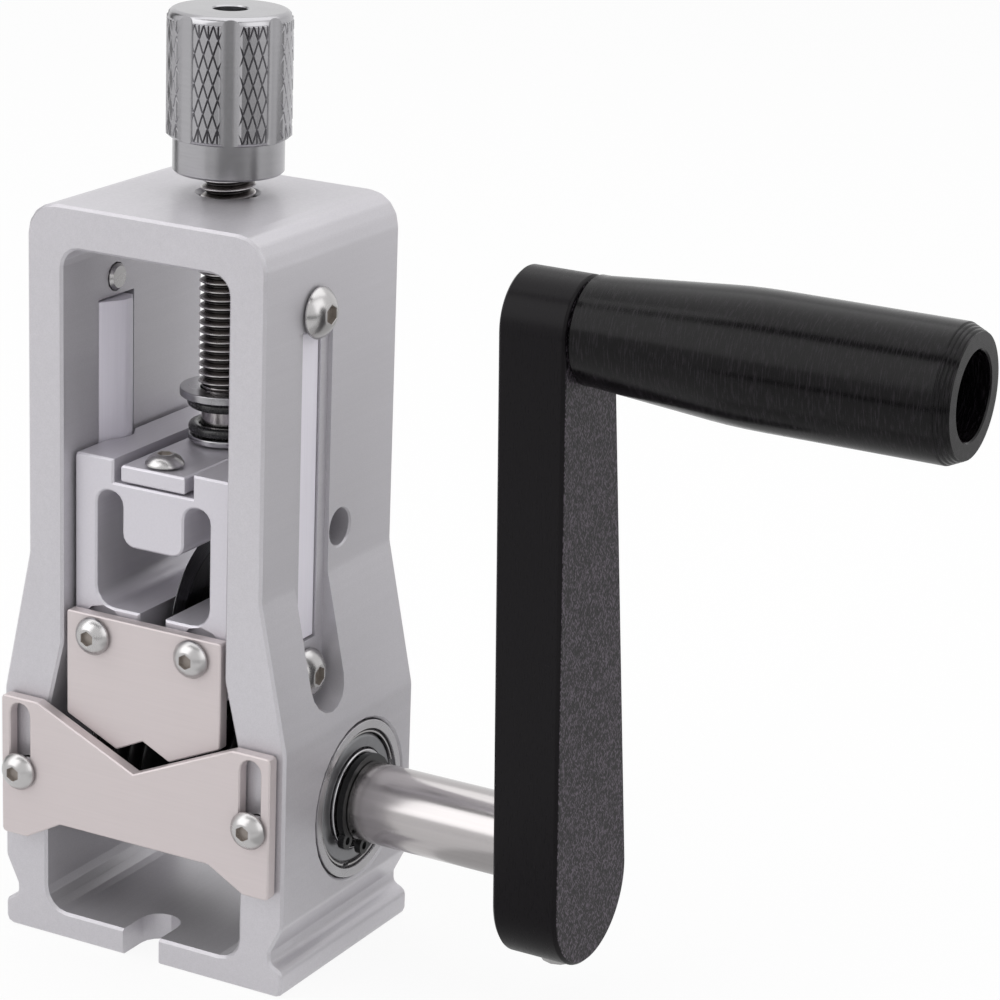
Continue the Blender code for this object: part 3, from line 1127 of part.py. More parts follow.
def make_arm():
    """Make the crank arm with its blind shaft bore, bolt hole and clamping screw."""
    arm = flat_piece("crank_arm", [arm_outline()], (ARM_INNER_X, ARM_OUTER_X), ALONG_X,
                     ARM_EDGE_CHAMFER, "black_crank")
    arm.matrix_world = leaning(arm.matrix_world)
    bore = straight_cutter("cut_arm_bore", SHAFT_RADIUS + RUNNING_GAP, -OVERRUN, ARM_BORE_DEPTH,
                           on_x(ARM_INNER_X, MECHANISM_Y, SHAFT_Z))
    bolt_hole = straight_cutter("cut_arm_bolt", HANDLE_BOLT_RADIUS + RUNNING_GAP,
                                -HANDLE_BOLT_IN_ARM - SEAT_GAP, OVERRUN,
                                on_x(ARM_OUTER_X, HANDLE_Y, HANDLE_Z), SMALL_ROUND_STEPS)
    bottom = SHAFT_Z - ARM_BOTTOM_DROP - ARM_BOTTOM_RADIUS
    middle_x = ARM_INNER_X + ARM_THICKNESS / 2
    seat_z = bottom + ARM_SCREW_FACE_DEPTH
    downwards = leaning(facing((middle_x, MECHANISM_Y, seat_z), (0, 0, -1)))
    spot = straight_cutter("cut_arm_spot", ARM_SCREW_HEAD_RADIUS + SEAT_GAP, 0, OVERRUN, downwards,
                           ROUND_STEPS)
    length = SHAFT_Z - SHAFT_RADIUS - SEAT_GAP - seat_z
    thread = straight_cutter("cut_arm_screw", ARM_SCREW["shank"] + RUNNING_GAP, -length - OVERRUN,
                             OVERRUN, downwards, SMALL_ROUND_STEPS)
    lowered = downwards @ Matrix.Translation((0, 0, SEAT_GAP))
    screw = button_screw("arm_clamp_screw", ARM_SCREW, length + SEAT_GAP, lowered)
    return cut(arm, [bore, bolt_hole, spot, thread]), screw


def make_handle():
    """Make the turned handle, its bolt and the washer under the bolt's head."""
    place = on_x(HANDLE_START_X, HANDLE_Y, HANDLE_Z)
    floor = HANDLE_LENGTH - HANDLE_BORE_DEPTH
    bore = HANDLE_BOLT_RADIUS + RUNNING_GAP
    profile = [(HANDLE_BORE_RADIUS, HANDLE_LENGTH), (HANDLE_END_RADIUS, HANDLE_LENGTH),
               (HANDLE_RADIUS, HANDLE_LENGTH - HANDLE_END_LENGTH), (HANDLE_RADIUS, HANDLE_CONE_END),
               (HANDLE_NECK_RADIUS, HANDLE_NECK_LENGTH), (HANDLE_NECK_RADIUS, HANDLE_END_RIM),
               (HANDLE_NECK_RADIUS - HANDLE_END_RIM, 0), (bore, 0), (bore, floor),
               (HANDLE_BORE_RADIUS, floor)]
    grip = turned_piece("handle_grip", profile, place, BIG_ROUND_STEPS, "black_crank")
    washer_x = floor + RUNNING_GAP
    washer = turned_piece("handle_washer",
                          ring_profile(bore, HANDLE_WASHER_RADIUS, washer_x,
                                       washer_x + HANDLE_WASHER_THICKNESS, RING_EDGE),
                          place, SMALL_ROUND_STEPS, "polished_steel")
    seat = washer_x + HANDLE_WASHER_THICKNESS + RUNNING_GAP
    tip = -SEAT_GAP - HANDLE_BOLT_IN_ARM
    top = seat + HANDLE_BOLT_HEAD_HEIGHT
    bolt = turned_piece("handle_bolt", [
        (0, top), (HANDLE_BOLT_HEAD_RADIUS - RING_EDGE, top), (HANDLE_BOLT_HEAD_RADIUS, top - RING_EDGE),
        (HANDLE_BOLT_HEAD_RADIUS, seat), (HANDLE_BOLT_RADIUS, seat), (HANDLE_BOLT_RADIUS, tip + RING_EDGE),
        (HANDLE_BOLT_RADIUS - RING_EDGE, tip), (0, tip)], place, SMALL_ROUND_STEPS, "black_oxide_steel")
    key = straight_cutter("cut_bolt_key", HANDLE_BOLT_KEY_WIDTH / 2 / math.cos(math.pi / 6),
                          top - HANDLE_BOLT_KEY_DEPTH, top + OVERRUN, place, HEX_SIDES)
    return grip, washer, cut(bolt, [key])


def build():
    """Make every piece and hang the moving ones on their joint axes."""
    make_frame()
    for side in (-1, 1):
        make_guide_strip(side)
        make_side_screws(side)
    lower_plate = make_lower_guide_plate()
    make_lower_plate_screws()
    hang_on(joint_axis("lower_plate_axis", (0, FRAME_FRONT_Y, PLATE_SCREW_Z)), [lower_plate])

    crank_axis = joint_axis("crank_axis", (0, MECHANISM_Y, SHAFT_Z))
    crank_pieces = [make_shaft(), *make_roller(), *make_arm()]
    for side in (-1, 1):
        outer, inner, cage = make_bearing(side)
        crank_pieces += [inner, make_circlip(side)]
    grip, washer, bolt = make_handle()
    handle_axis = joint_axis("handle_axis", (HANDLE_START_X, HANDLE_Y, HANDLE_Z))
    hang_on(handle_axis, [grip])
    hang_on(crank_axis, crank_pieces + [washer, bolt, handle_axis])

    carriage_axis = joint_axis("carriage_axis", (0, MECHANISM_Y, BLADE_AXLE_Z))
    carriage_pieces = [make_carriage(), *make_retainer(), make_upper_guide_plate(),
                       *make_upper_plate_screws()]
    axle, blade, spacers = make_blade_parts()
    blade_axis = joint_axis("blade_axis", (0, MECHANISM_Y, BLADE_AXLE_Z))
    hang_on(blade_axis, [blade])
    screw, foot, rings = make_lead_screw()
    screw_axis = joint_axis("lead_screw_axis", (0, MECHANISM_Y, CHANNEL_FLOOR_Z))
    hang_on(screw_axis, [screw, foot, rings[2], rings[3], make_knob()])
    hang_on(carriage_axis, carriage_pieces + [axle, *spacers, rings[0], rings[1], blade_axis, screw_axis])


build()
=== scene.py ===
"""Looks of the hand crank wire stripper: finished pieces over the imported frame, and its stage."""
import math

import bmesh
import bpy
from bpy.props import FloatProperty, FloatVectorProperty, IntProperty, PointerProperty
from mathutils import Euler, Matrix, Vector


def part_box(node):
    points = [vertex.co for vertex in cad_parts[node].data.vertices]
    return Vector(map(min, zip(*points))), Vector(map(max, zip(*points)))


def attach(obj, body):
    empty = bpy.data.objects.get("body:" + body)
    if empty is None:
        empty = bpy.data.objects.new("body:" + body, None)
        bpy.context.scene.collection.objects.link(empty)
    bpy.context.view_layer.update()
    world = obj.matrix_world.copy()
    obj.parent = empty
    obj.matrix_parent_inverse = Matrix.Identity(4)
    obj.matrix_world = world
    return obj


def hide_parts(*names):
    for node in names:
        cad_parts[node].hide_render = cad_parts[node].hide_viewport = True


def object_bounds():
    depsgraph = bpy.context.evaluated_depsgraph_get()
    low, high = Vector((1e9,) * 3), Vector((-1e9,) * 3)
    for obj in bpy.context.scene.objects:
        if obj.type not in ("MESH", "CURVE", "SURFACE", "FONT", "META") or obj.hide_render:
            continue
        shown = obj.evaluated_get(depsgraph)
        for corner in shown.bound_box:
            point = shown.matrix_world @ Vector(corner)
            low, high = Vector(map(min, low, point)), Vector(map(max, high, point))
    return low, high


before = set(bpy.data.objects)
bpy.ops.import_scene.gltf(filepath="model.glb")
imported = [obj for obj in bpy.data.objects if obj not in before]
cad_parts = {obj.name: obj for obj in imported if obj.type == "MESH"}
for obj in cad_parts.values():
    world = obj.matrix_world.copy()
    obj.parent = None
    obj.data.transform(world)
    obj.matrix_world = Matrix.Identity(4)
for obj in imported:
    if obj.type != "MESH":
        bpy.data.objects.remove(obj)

bl_info = {
    "name": "Hand crank wire stripper",
    "version": (1, 0, 0),
    "blender": (4, 5, 0),
    "location": "3D View > Sidebar > Wire stripper",
    "description": "Makes the finished pieces of a hand crank wire stripper and its stage",
    "category": "Object",
}

CAD_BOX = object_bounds()

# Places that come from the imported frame
SHAFT_LOW, SHAFT_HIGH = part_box("drive_shaft")
ARM_LOW, ARM_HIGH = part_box("crank_arm")
KNOB_LOW, KNOB_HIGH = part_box("adjusting_knob")
BLADE_LOW, BLADE_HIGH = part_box("cutting_blade")
GRIP_LOW, GRIP_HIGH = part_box("handle_grip")
SHAFT_AXIS = (SHAFT_LOW + SHAFT_HIGH) / 2
BLADE_AXIS = (BLADE_LOW + BLADE_HIGH) / 2
GRIP_AXIS = (GRIP_LOW + GRIP_HIGH) / 2
MECHANISM_Y = BLADE_AXIS.y

FINISHED = "_finish"
SIDES = ((-1, "left"), (1, "right"))

# Sizes that several pieces share, in metres
MERGE_DISTANCE = 0.000002
OVERRUN = 0.004
SHAFT_BORE = 0.0062
PIN_HOLE = 0.0017
HOLE_STEPS = 32
GENTLE_ANGLES = (0.08, 0.7)

# A piece turned about its own Z is laid along the shaft, or stands on an axis
ALONG_X = Matrix(((0, 0, 1, 0), (1, 0, 0, 0), (0, 1, 0, 0), (0, 0, 0, 1)))
ON_SHAFT = Matrix.Translation((0, SHAFT_AXIS.y, SHAFT_AXIS.z))
ON_SCREW = Matrix.Translation((0, MECHANISM_Y, 0))

# The button heads: shares of the head's radius or height, then sizes in metres
SHANK_SHARE, DOME_SHARE, RIM_SHARE, SOCKET_SHARE = 0.53, 0.58, 0.16, 0.42
DOME_SLOPE, DOME_CURVE, DOME_STEPS = 0.55, 0.45, 12
CROWN_MARGIN, HEAD_BREAK, TIP_BREAK = 0.00022, 0.00008, 0.0004
LARGE_KEY, SMALL_KEY = 0.0025, 0.0020

# Sections of a bearing's shield and snap wire: radius, and depth under the ring's face
SHIELD = ((0.0078, 0.00045), (0.0092, 0.00045), (0.0096, 0.00065), (0.0098, 0.0010),
          (0.0095, 0.0010), (0.0091, 0.0007), (0.0078, 0.0007))
SNAP_WIRE = ((0.01002, 0.0004), (0.01026, 0.0004), (0.01026, 0.0008), (0.01002, 0.0008))
WIRE_PARTS, WIRE_SWEEP, WIRE_START = 3, 111, 17

# The handle's outline from its widest part down to the arm: radius and height
GRIP_OUTLINE = ((0.0094, 0.0270), (0.00937, 0.0245), (0.00928, 0.0220), (0.00913, 0.0197),
                (0.0076, 0.0015), (0.0076, 0.0003), (0.0073, 0))

# Each lamp's name, place, width and the setting that holds its power
LAMPS = (
    ("key_lamp", (-0.55, -0.65, 0.75), 1.1, "key_power"),
    ("top_lamp", (0.05, 0.25, 1.0), 1.2, "top_power"),
    ("side_lamp", (0.9, -0.1, 0.5), 0.8, "side_power"),
)

# The cards glow a grey shade that only reflections see: painted dark reflections on the metal and the
# handle
# Each card's name, place, turn, width, depth and shade
CARDS = (
    ("card_right", (0.30, 0.17, 0.0005), (0, 0, 0), 0.54, 0.46, 0.62),
    ("card_front", (0.43, -0.435, 0.004), (0, 0, 0.57), 0.70, 0.60, 0.17),
    ("card_handle", (-0.04, -0.37, 0.005), (0, 0, 0), 0.14, 0.16, 0.03),
    ("card_left", (-0.45, 0.10, 0.20), (0, math.pi / 2, 0.2), 0.50, 0.16, 0.10),
    ("card_high", (0.05, -0.30, 0.75), (0.3, 0, 0), 0.9, 0.14, 0.10),
)


def length(name, about, value):
    """Return a length property in metres."""
    return FloatProperty(name=name, description=about, default=value, min=0.0, unit="LENGTH",
                         precision=5)


def colour(name, about, value):
    """Return a colour property."""
    return FloatVectorProperty(name=name, description=about, default=value, size=3, min=0.0, max=1.0,
                               subtype="COLOR")


class StripperSizes(bpy.types.PropertyGroup):
    """Sizes of the finished pieces that a user may change."""

    edge_break: length("Edge break", "Width of the broken edges of machined pieces", 0.00010)
    turned_steps: IntProperty(name="Turned steps", description="Facets round a turned piece",
                              default=72, min=24, max=192)
    thread_depth: length("Thread depth", "Depth of the lead screw's thread", 0.00085)
    thread_pitch: length("Thread pitch", "Pitch of the lead screw's thread", 0.00125)
    knurl_cells: IntProperty(name="Knurl cells", description="Diamonds round the knob", default=40,
                             min=16, max=80)
    knurl_height: length("Knurl height", "Height of one diamond of the knob's knurl", 0.0041)
    knurl_groove: length("Knurl groove", "Half the width of a groove of the knurl", 0.00013)
    knurl_depth: length("Knurl depth", "Depth of a groove of the knurl", 0.00030)
    flute_width: length("Flute width", "Width of a flute of the knob", 0.0033)
    flute_radius: length("Flute radius", "Radius of a flute of the knob", 0.0028)
    sheet_edge: length("Sheet edge", "Width of the broken edges of the guide plates", 0.00005)


class StripperColours(bpy.types.PropertyGroup):
    """Colours of the finishes."""

    blasted_aluminium: colour("Frame", "Blasted aluminium of the frame", (0.55, 0.535, 0.565))
    machined_aluminium: colour("Carriage", "Machined aluminium of the carriage", (0.62, 0.60, 0.645))
    guide_plate_steel: colour("Guide plates", "Warm sheet steel of the guide plates",
                              (0.605, 0.545, 0.548))
    polished_steel: colour("Polished steel", "Screws and snap wires", (0.47, 0.46, 0.46))
    race_steel: colour("Bearing rings", "Ground steel of the bearing rings", (0.50, 0.49, 0.505))
    ground_steel: colour("Shaft", "Ground steel of the drive shaft", (0.44, 0.42, 0.42))
    # painted shade: darker, browner steel for the hollow of the hexagon sockets
    socket_steel: colour("Sockets", "Shaded steel inside the hexagon sockets", (0.30, 0.265, 0.24))
    # the guide strips' paler steel, raised to near white as painted light where they sit in shade
    bright_strip: colour("Guide strips", "Ground steel of the guide strips", (0.89, 0.86, 0.94))
    dark_screw_steel: colour("Lead screw", "Oiled dark steel of the lead screw", (0.20, 0.185, 0.18))
    black_rubber: colour("Black rings", "Rubber of the rings on the lead screw", (0.020, 0.020, 0.021))
    black_oxide_steel: colour("Black oxide", "Circlips, roller and bolt", (0.016, 0.016, 0.017))
    black_crank: colour("Crank", "Black anodised arm and handle", (0.0060, 0.0050, 0.0062))
    blade_steel: colour("Blade", "Dark steel of the blade", (0.020, 0.020, 0.021))
    knob_steel: colour("Knob", "Turned steel of the knob", (0.38, 0.375, 0.39))
    shield_steel: colour("Bearing shields", "Pressed steel of the bearing shields", (0.25, 0.25, 0.26))
    # painted highlight: the paler colour along the crests of the lead screw's thread
    crest_highlight: colour("Bright crests", "Crests of the lead screw's thread", (0.62, 0.60, 0.60))
    floor: colour("Floor", "Floor of the stage", (0.93, 0.93, 0.93))


class StripperStage(bpy.types.PropertyGroup):
    """Camera and light of the stage."""

    camera_place: FloatVectorProperty(name="Camera", description="Place of the camera",
                                      default=(0.2661, -0.4088, 0.2236), subtype="TRANSLATION")
    camera_turn: FloatVectorProperty(name="Camera turn", description="Yaw, dip and roll",
                                     default=(math.radians(28.10), math.radians(17.70),
                                              math.radians(2.18)), subtype="EULER")
    lens: FloatProperty(name="Lens", description="Focal length", default=125.25, unit="CAMERA")
    key_power: FloatProperty(name="Key lamp", description="Power of the lamp above left", default=5.2,
                             min=0.0, subtype="POWER")
    top_power: FloatProperty(name="Top lamp", description="Power of the lamp above", default=4.2,
                             min=0.0, subtype="POWER")
    side_power: FloatProperty(name="Side lamp", description="Power of the lamp on the right",
                              default=1.9, min=0.0, subtype="POWER")
    world_strength: FloatProperty(name="World", description="Strength of the soft light all round",
                                  default=0.50, min=0.0)
    floor_white: FloatProperty(name="Floor white", description="Share of plain white in the seen floor",
                               default=0.91, min=0.0, max=1.0)


def sizes():
    """Return the sizes of the scene."""
    return bpy.context.scene.stripper_sizes


def colours():
    """Return the colours of the scene."""
    return bpy.context.scene.stripper_colours


# Shader nodes

def add_node(tree, kind, inputs=None, **settings):
    """Add a shader node with its settings, and give each input a value or a link."""
    made = tree.nodes.new(kind)
    for key, value in settings.items():
        setattr(made, key, value)
    for key, value in (inputs or {}).items():
        if isinstance(value, bpy.types.NodeSocket):
            tree.links.new(value, made.inputs[key])
        else:
            made.inputs[key].default_value = value
    return made


def new_material(name):
    """Return an empty material with its tree, its shader and its object coordinates."""
    made = bpy.data.materials.new(name + FINISHED)
    made.use_nodes = True
    tree = made.node_tree
    place = add_node(tree, "ShaderNodeTexCoord").outputs["Object"]
    return made, tree, tree.nodes["Principled BSDF"], place


def noise(tree, place, scale, detail=3.0):
    """Return the value of a noise whose cells are 1 / scale metres along each axis."""
    mapped = add_node(tree, "ShaderNodeMapping", {"Vector": place, "Scale": scale})
    return add_node(tree, "ShaderNodeTexNoise",
                    {"Vector": mapped.outputs[0], "Scale": 1.0, "Detail": detail}).outputs[0]


def remap(tree, value, low, high, start=0.3, end=0.7):
    """Return a value spread from its start and end over low to high."""
    return add_node(tree, "ShaderNodeMapRange", {"Value": value, "From Min": start, "From Max": end,
                                                 "To Min": low, "To Max": high}).outputs[0]


def tinted(tree, base, tone):
    """Return the base colour times a tone."""
    made = add_node(tree, "ShaderNodeMix", data_type="RGBA", blend_type="MULTIPLY")
    made.inputs[0].default_value = 1.0
    if isinstance(base, bpy.types.NodeSocket):
        tree.links.new(base, made.inputs[6])
    else:
        made.inputs[6].default_value = (*base, 1.0)
    tree.links.new(tone, made.inputs[7])
    return made.outputs[2]


def blended(tree, share, first, second):
    """Return a colour between the first and the second."""
    made = add_node(tree, "ShaderNodeMix", data_type="RGBA")
    tree.links.new(share, made.inputs[0])
    for index, value in ((6, first), (7, second)):
        if isinstance(value, bpy.types.NodeSocket):
            tree.links.new(value, made.inputs[index])
        else:
            made.inputs[index].default_value = (*value, 1.0)
    return made.outputs[2]


def bumped(tree, height, depth, normal=None):
    """Return a normal roughened by a height of that depth in metres."""
    inputs = {"Height": height, "Strength": 1.0, "Distance": depth}
    if normal is not None:
        inputs["Normal"] = normal
    return add_node(tree, "ShaderNodeBump", inputs).outputs[0]


def worked_metal(name, base, metallic, roughness, grain, tone, depth, cloud):
    """Return a metal whose tool marks are a noise stretched along its grain."""
    made, tree, shader, place = new_material(name)
    marks = noise(tree, place, grain)
    clouds = noise(tree, place, (70, 70, 70), 2.0)
    shader.inputs["Metallic"].default_value = metallic
    link = tree.links.new
    link(tinted(tree, base, remap(tree, marks, 1 - tone, 1 + tone)), shader.inputs["Base Color"])
    link(remap(tree, clouds, roughness - cloud, roughness + cloud), shader.inputs["Roughness"])
    link(bumped(tree, marks, depth), shader.inputs["Normal"])
    return made


def radius_from(tree, place, centre, spokes):
    """Return the distance of a point from an axis, with the axis direction left out."""
    moved = add_node(tree, "ShaderNodeVectorMath", {0: place, 1: tuple(-value for value in centre)},
                     operation="ADD").outputs[0]
    flat = add_node(tree, "ShaderNodeVectorMath", {0: moved, 1: spokes},
                    operation="MULTIPLY").outputs[0]
    return add_node(tree, "ShaderNodeVectorMath", {0: flat}, operation="LENGTH").outputs["Value"]


def blasted_aluminium():
    """Return the frame's fine blasted and anodised aluminium, with faint lines of its extrusion."""
    made, tree, shader, place = new_material("blasted_aluminium")
    grains = noise(tree, place, (5200, 5200, 5200), 2.0)
    pits = noise(tree, place, (1500, 1500, 1500), 2.0)
    lines = noise(tree, place, (900, 12, 900), 3.0)
    clouds = noise(tree, place, (45, 45, 45), 3.0)
    tone = tinted(tree, colours().blasted_aluminium, remap(tree, grains, 0.96, 1.04))
    tone = tinted(tree, tone, remap(tree, clouds, 0.985, 1.015))
    tone = tinted(tree, tone, remap(tree, lines, 0.985, 1.015))
    shader.inputs["Metallic"].default_value = 0.45
    link = tree.links.new
    link(tone, shader.inputs["Base Color"])
    link(remap(tree, pits, 0.34, 0.42), shader.inputs["Roughness"])
    normal = bumped(tree, lines, 0.000005)
    link(bumped(tree, grains, 0.0000045, normal), shader.inputs["Normal"])
    return made


def crested_steel():
    """Return the lead screw's dark steel, with a painted highlight along the crests of its thread and
    painted shade in its roots.
    """
    made, tree, shader, place = new_material("dark_screw_steel")
    radius = radius_from(tree, place, (0, MECHANISM_Y, 0), (1, 1, 0))
    # painted highlight: a paler colour along the crests of the thread
    crest_highlight = remap(tree, radius, 0.0, 1.0, 0.00372, 0.00392)
    # painted shade: darker towards the roots of the thread
    root = remap(tree, radius, 0.25, 1.0, 0.00315, 0.00345)
    marks = noise(tree, place, (300, 300, 6000))
    tone = blended(tree, crest_highlight, colours().dark_screw_steel, colours().crest_highlight)
    shader.inputs["Metallic"].default_value = 1.0
    link = tree.links.new
    tone = tinted(tree, tone, root)
    link(tinted(tree, tone, remap(tree, marks, 0.9, 1.1)), shader.inputs["Base Color"])
    link(remap(tree, marks, 0.24, 0.36), shader.inputs["Roughness"])
    link(bumped(tree, marks, 0.000004), shader.inputs["Normal"])
    return made


def ground_blade():
    """Return the blade's dark steel with its turning rings, paler on its ground bevel."""
    made, tree, shader, place = new_material("blade_steel")
    radius = radius_from(tree, place, BLADE_AXIS, (0, 1, 1))
    rings_a_metre, paler = 9000.0, 4
    along = add_node(tree, "ShaderNodeMath", {0: radius, 1: rings_a_metre},
                     operation="MULTIPLY").outputs[0]
    rings = add_node(tree, "ShaderNodeTexNoise", {"W": along, "Scale": 1.0, "Detail": 2.0},
                     noise_dimensions="1D").outputs[0]
    bevel = remap(tree, radius, 0.0, 1.0, 0.01150, 0.01160)
    ground = tuple(value * paler for value in colours().blade_steel)
    tone = blended(tree, bevel, colours().blade_steel, ground)
    shader.inputs["Metallic"].default_value = 1.0
    link = tree.links.new
    link(tinted(tree, tone, remap(tree, rings, 0.9, 1.1)), shader.inputs["Base Color"])
    link(remap(tree, rings, 0.24, 0.32), shader.inputs["Roughness"])
    link(bumped(tree, rings, 0.000003), shader.inputs["Normal"])
    return made


def soft_rubber():
    """Return the black rubber of the rings, a little shiny with grease."""
    made, tree, shader, place = new_material("black_rubber")
    grains = noise(tree, place, (4000, 4000, 4000), 2.0)
    link = tree.links.new
    tone = tinted(tree, colours().black_rubber, remap(tree, grains, 0.8, 1.2))
    link(tone, shader.inputs["Base Color"])
    link(remap(tree, grains, 0.20, 0.30), shader.inputs["Roughness"])
    link(bumped(tree, grains, 0.000002), shader.inputs["Normal"])
    return made


def grained_black():
    """Return the arm's black anodised finish, with its crossed grain and light specks."""
    made, tree, shader, place = new_material("black_crank_grained")
    slant, grain, lighter = 0.62, (1500, 3900, 1500), 17.0
    crossed = []
    for turn in (slant, -slant):
        turned = add_node(tree, "ShaderNodeMapping", {"Vector": place, "Rotation": (turn, 0.0, 0.0)})
        crossed.append(noise(tree, turned.outputs[0], grain, 1.0))
    height = add_node(tree, "ShaderNodeMath", {0: crossed[0], 1: crossed[1]},
                      operation="MAXIMUM").outputs[0]
    specks = remap(tree, height, 0.0, 1.0, 0.53, 0.68)
    base = colours().black_crank
    light = tuple(min(1.0, value * lighter) for value in base)
    shader.inputs["Metallic"].default_value = 0.0
    shader.inputs["Specular IOR Level"].default_value = 0.22
    link = tree.links.new
    link(blended(tree, specks, base, light), shader.inputs["Base Color"])
    link(remap(tree, height, 0.36, 0.50, 0.4, 0.7), shader.inputs["Roughness"])
    link(bumped(tree, height, 0.00006), shader.inputs["Normal"])
    return made


def turned_black():
    """Return the handle's black finish with its fine turning lines."""
    made, tree, shader, place = new_material("black_crank_turned")
    lines = noise(tree, place, (4600, 620, 620), 2.0)
    darker, lighter = 0.4, 6.0
    base = tuple(value * darker for value in colours().black_crank)
    light = tuple(min(1.0, value * lighter) for value in base)
    shader.inputs["Metallic"].default_value = 0.0
    shader.inputs["Specular IOR Level"].default_value = 0.15
    link = tree.links.new
    link(blended(tree, remap(tree, lines, 0.0, 1.0, 0.50, 0.72), base, light),
         shader.inputs["Base Color"])
    link(remap(tree, lines, 0.17, 0.25), shader.inputs["Roughness"])
    link(bumped(tree, lines, 0.000008), shader.inputs["Normal"])
    return made


def smooth_black():
    """Return the smooth satin black of the arm's edge."""
    made, tree, shader, place = new_material("black_crank_smooth")
    lines = noise(tree, place, (4200, 700, 700), 2.0)
    shader.inputs["Metallic"].default_value = 0.0
    shader.inputs["Specular IOR Level"].default_value = 0.12
    link = tree.links.new
    tone = tinted(tree, colours().black_crank, remap(tree, lines, 0.9, 1.1))
    link(tone, shader.inputs["Base Color"])
    link(remap(tree, lines, 0.26, 0.34), shader.inputs["Roughness"])
    link(bumped(tree, lines, 0.000005), shader.inputs["Normal"])
    return made


# Each worked metal: colour, metallic share, roughness, grain, tone, depth of the marks, clouds
WORKED_METALS = {
    "machined_aluminium": ("machined_aluminium", 0.45, 0.36, (2600, 60, 2600), 0.02, 0.000002, 0.05),
    "guide_plate_steel": ("guide_plate_steel", 0.35, 0.40, (60, 2800, 2800), 0.015, 0.000002, 0.05),
    "polished_steel": ("polished_steel", 1.0, 0.28, (500, 500, 500), 0.02, 0.000001, 0.03),
    "socket_steel": ("socket_steel", 0.3, 0.40, (900, 900, 900), 0.1, 0.000002, 0.05),
    "ground_steel": ("ground_steel", 1.0, 0.19, (14, 2600, 2600), 0.03, 0.000001, 0.02),
    # the guide strips: their paler steel plus painted light, near white and not metallic
    "bright_strip": ("bright_strip", 0.0, 0.34, (3000, 3000, 60), 0.02, 0.000002, 0.05),
    "knob_steel": ("knob_steel", 1.0, 0.24, (200, 200, 4200), 0.03, 0.000001, 0.02),
    "washer_steel": ("knob_steel", 1.0, 0.26, (700, 700, 5000), 0.06, 0.000002, 0.05),
    "ring_steel": ("race_steel", 1.0, 0.26, (5000, 300, 300), 0.04, 0.000001, 0.05),
    "shield_steel": ("shield_steel", 0.9, 0.38, (900, 900, 900), 0.05, 0.000002, 0.05),
    "black_oxide_steel": ("black_oxide_steel", 0.3, 0.30, (2500, 2500, 2500), 0.15, 0.000004, 0.05),
}
OTHER_FINISHES = {
    "blasted_aluminium": blasted_aluminium,
    "dark_screw_steel": crested_steel,
    "blade_steel": ground_blade,
    "black_rubber": soft_rubber,
    "black_crank_grained": grained_black,
    "black_crank_turned": turned_black,
    "black_crank_smooth": smooth_black,
}


def finish_material(name):
    """Return the material of a finish, made once."""
    made = bpy.data.materials.get(name + FINISHED)
    if made is None and name in WORKED_METALS:
        tint, *marks = WORKED_METALS[name]
        made = worked_metal(name, getattr(colours(), tint), *marks)
    return made or OTHER_FINISHES[name]()


# Shapes

def spun(profile, steps, closed=True, sweep=2 * math.pi):
    """Spin a profile of (radius, height) points about Z, a full turn unless a sweep is given."""
    shape = bmesh.new()
    verts = [shape.verts.new((radius, 0, height)) for radius, height in profile]
    edges = [shape.edges.new(pair) for pair in zip(verts, verts[1:])]
    if closed and profile[0][0] > 0:
        edges.append(shape.edges.new((verts[-1], verts[0])))
    full = sweep == 2 * math.pi
    bmesh.ops.spin(shape, geom=verts + edges, cent=(0, 0, 0), axis=(0, 0, 1), angle=sweep,
                   steps=steps, use_merge=full)
    bmesh.ops.remove_doubles(shape, verts=shape.verts, dist=MERGE_DISTANCE)
    if not full:
        bmesh.ops.holes_fill(shape, edges=[edge for edge in shape.edges if edge.is_boundary], sides=0)
    bmesh.ops.recalc_face_normals(shape, faces=shape.faces)
    return shape


def bevelled(shape, edges, width, segments):
    """Bevel those edges of the shape."""
    bmesh.ops.bevel(shape, geom=edges, offset=width, offset_type="OFFSET", segments=segments,
                    profile=0.5, affect="EDGES", clamp_overlap=True, material=-1)
    return shape


def soften(shape, width, segments=2, degrees=30):
    """Break every edge sharper than the angle."""
    limit = math.radians(degrees)
    edges = [edge for edge in shape.edges
             if len(edge.link_faces) == 2 and edge.calc_face_angle(0) > limit]
    return bevelled(shape, edges, width, segments)


def gentle_edges(shape):
    """Return the edges where two faces meet at a gentle angle."""
    low, high = GENTLE_ANGLES
    return [edge for edge in shape.edges
            if len(edge.link_faces) == 2 and low < edge.calc_face_angle(0) < high]


def least_area(edge):
    """Return the area of the smaller face beside an edge."""
    return min(face.calc_area() for face in edge.link_faces)


def rod(radius, low, high, steps):
    """Return a plain rod along Z, used to cut with."""
    shape = bmesh.new()
    bmesh.ops.create_cone(shape, cap_ends=True, segments=steps, radius1=radius, radius2=radius,
                          depth=high - low, matrix=Matrix.Translation((0, 0, (low + high) / 2)))
    return shape


def mesh_of(name, shape):
    """Return a new mesh of a shape, which is used up."""
    mesh = bpy.data.meshes.new(name)
    shape.to_mesh(mesh)
    shape.free()
    return mesh


def in_scene(name, data):
    """Return a new object of the scene with that data."""
    item = bpy.data.objects.new(name, data)
    bpy.context.scene.collection.objects.link(item)
    return item


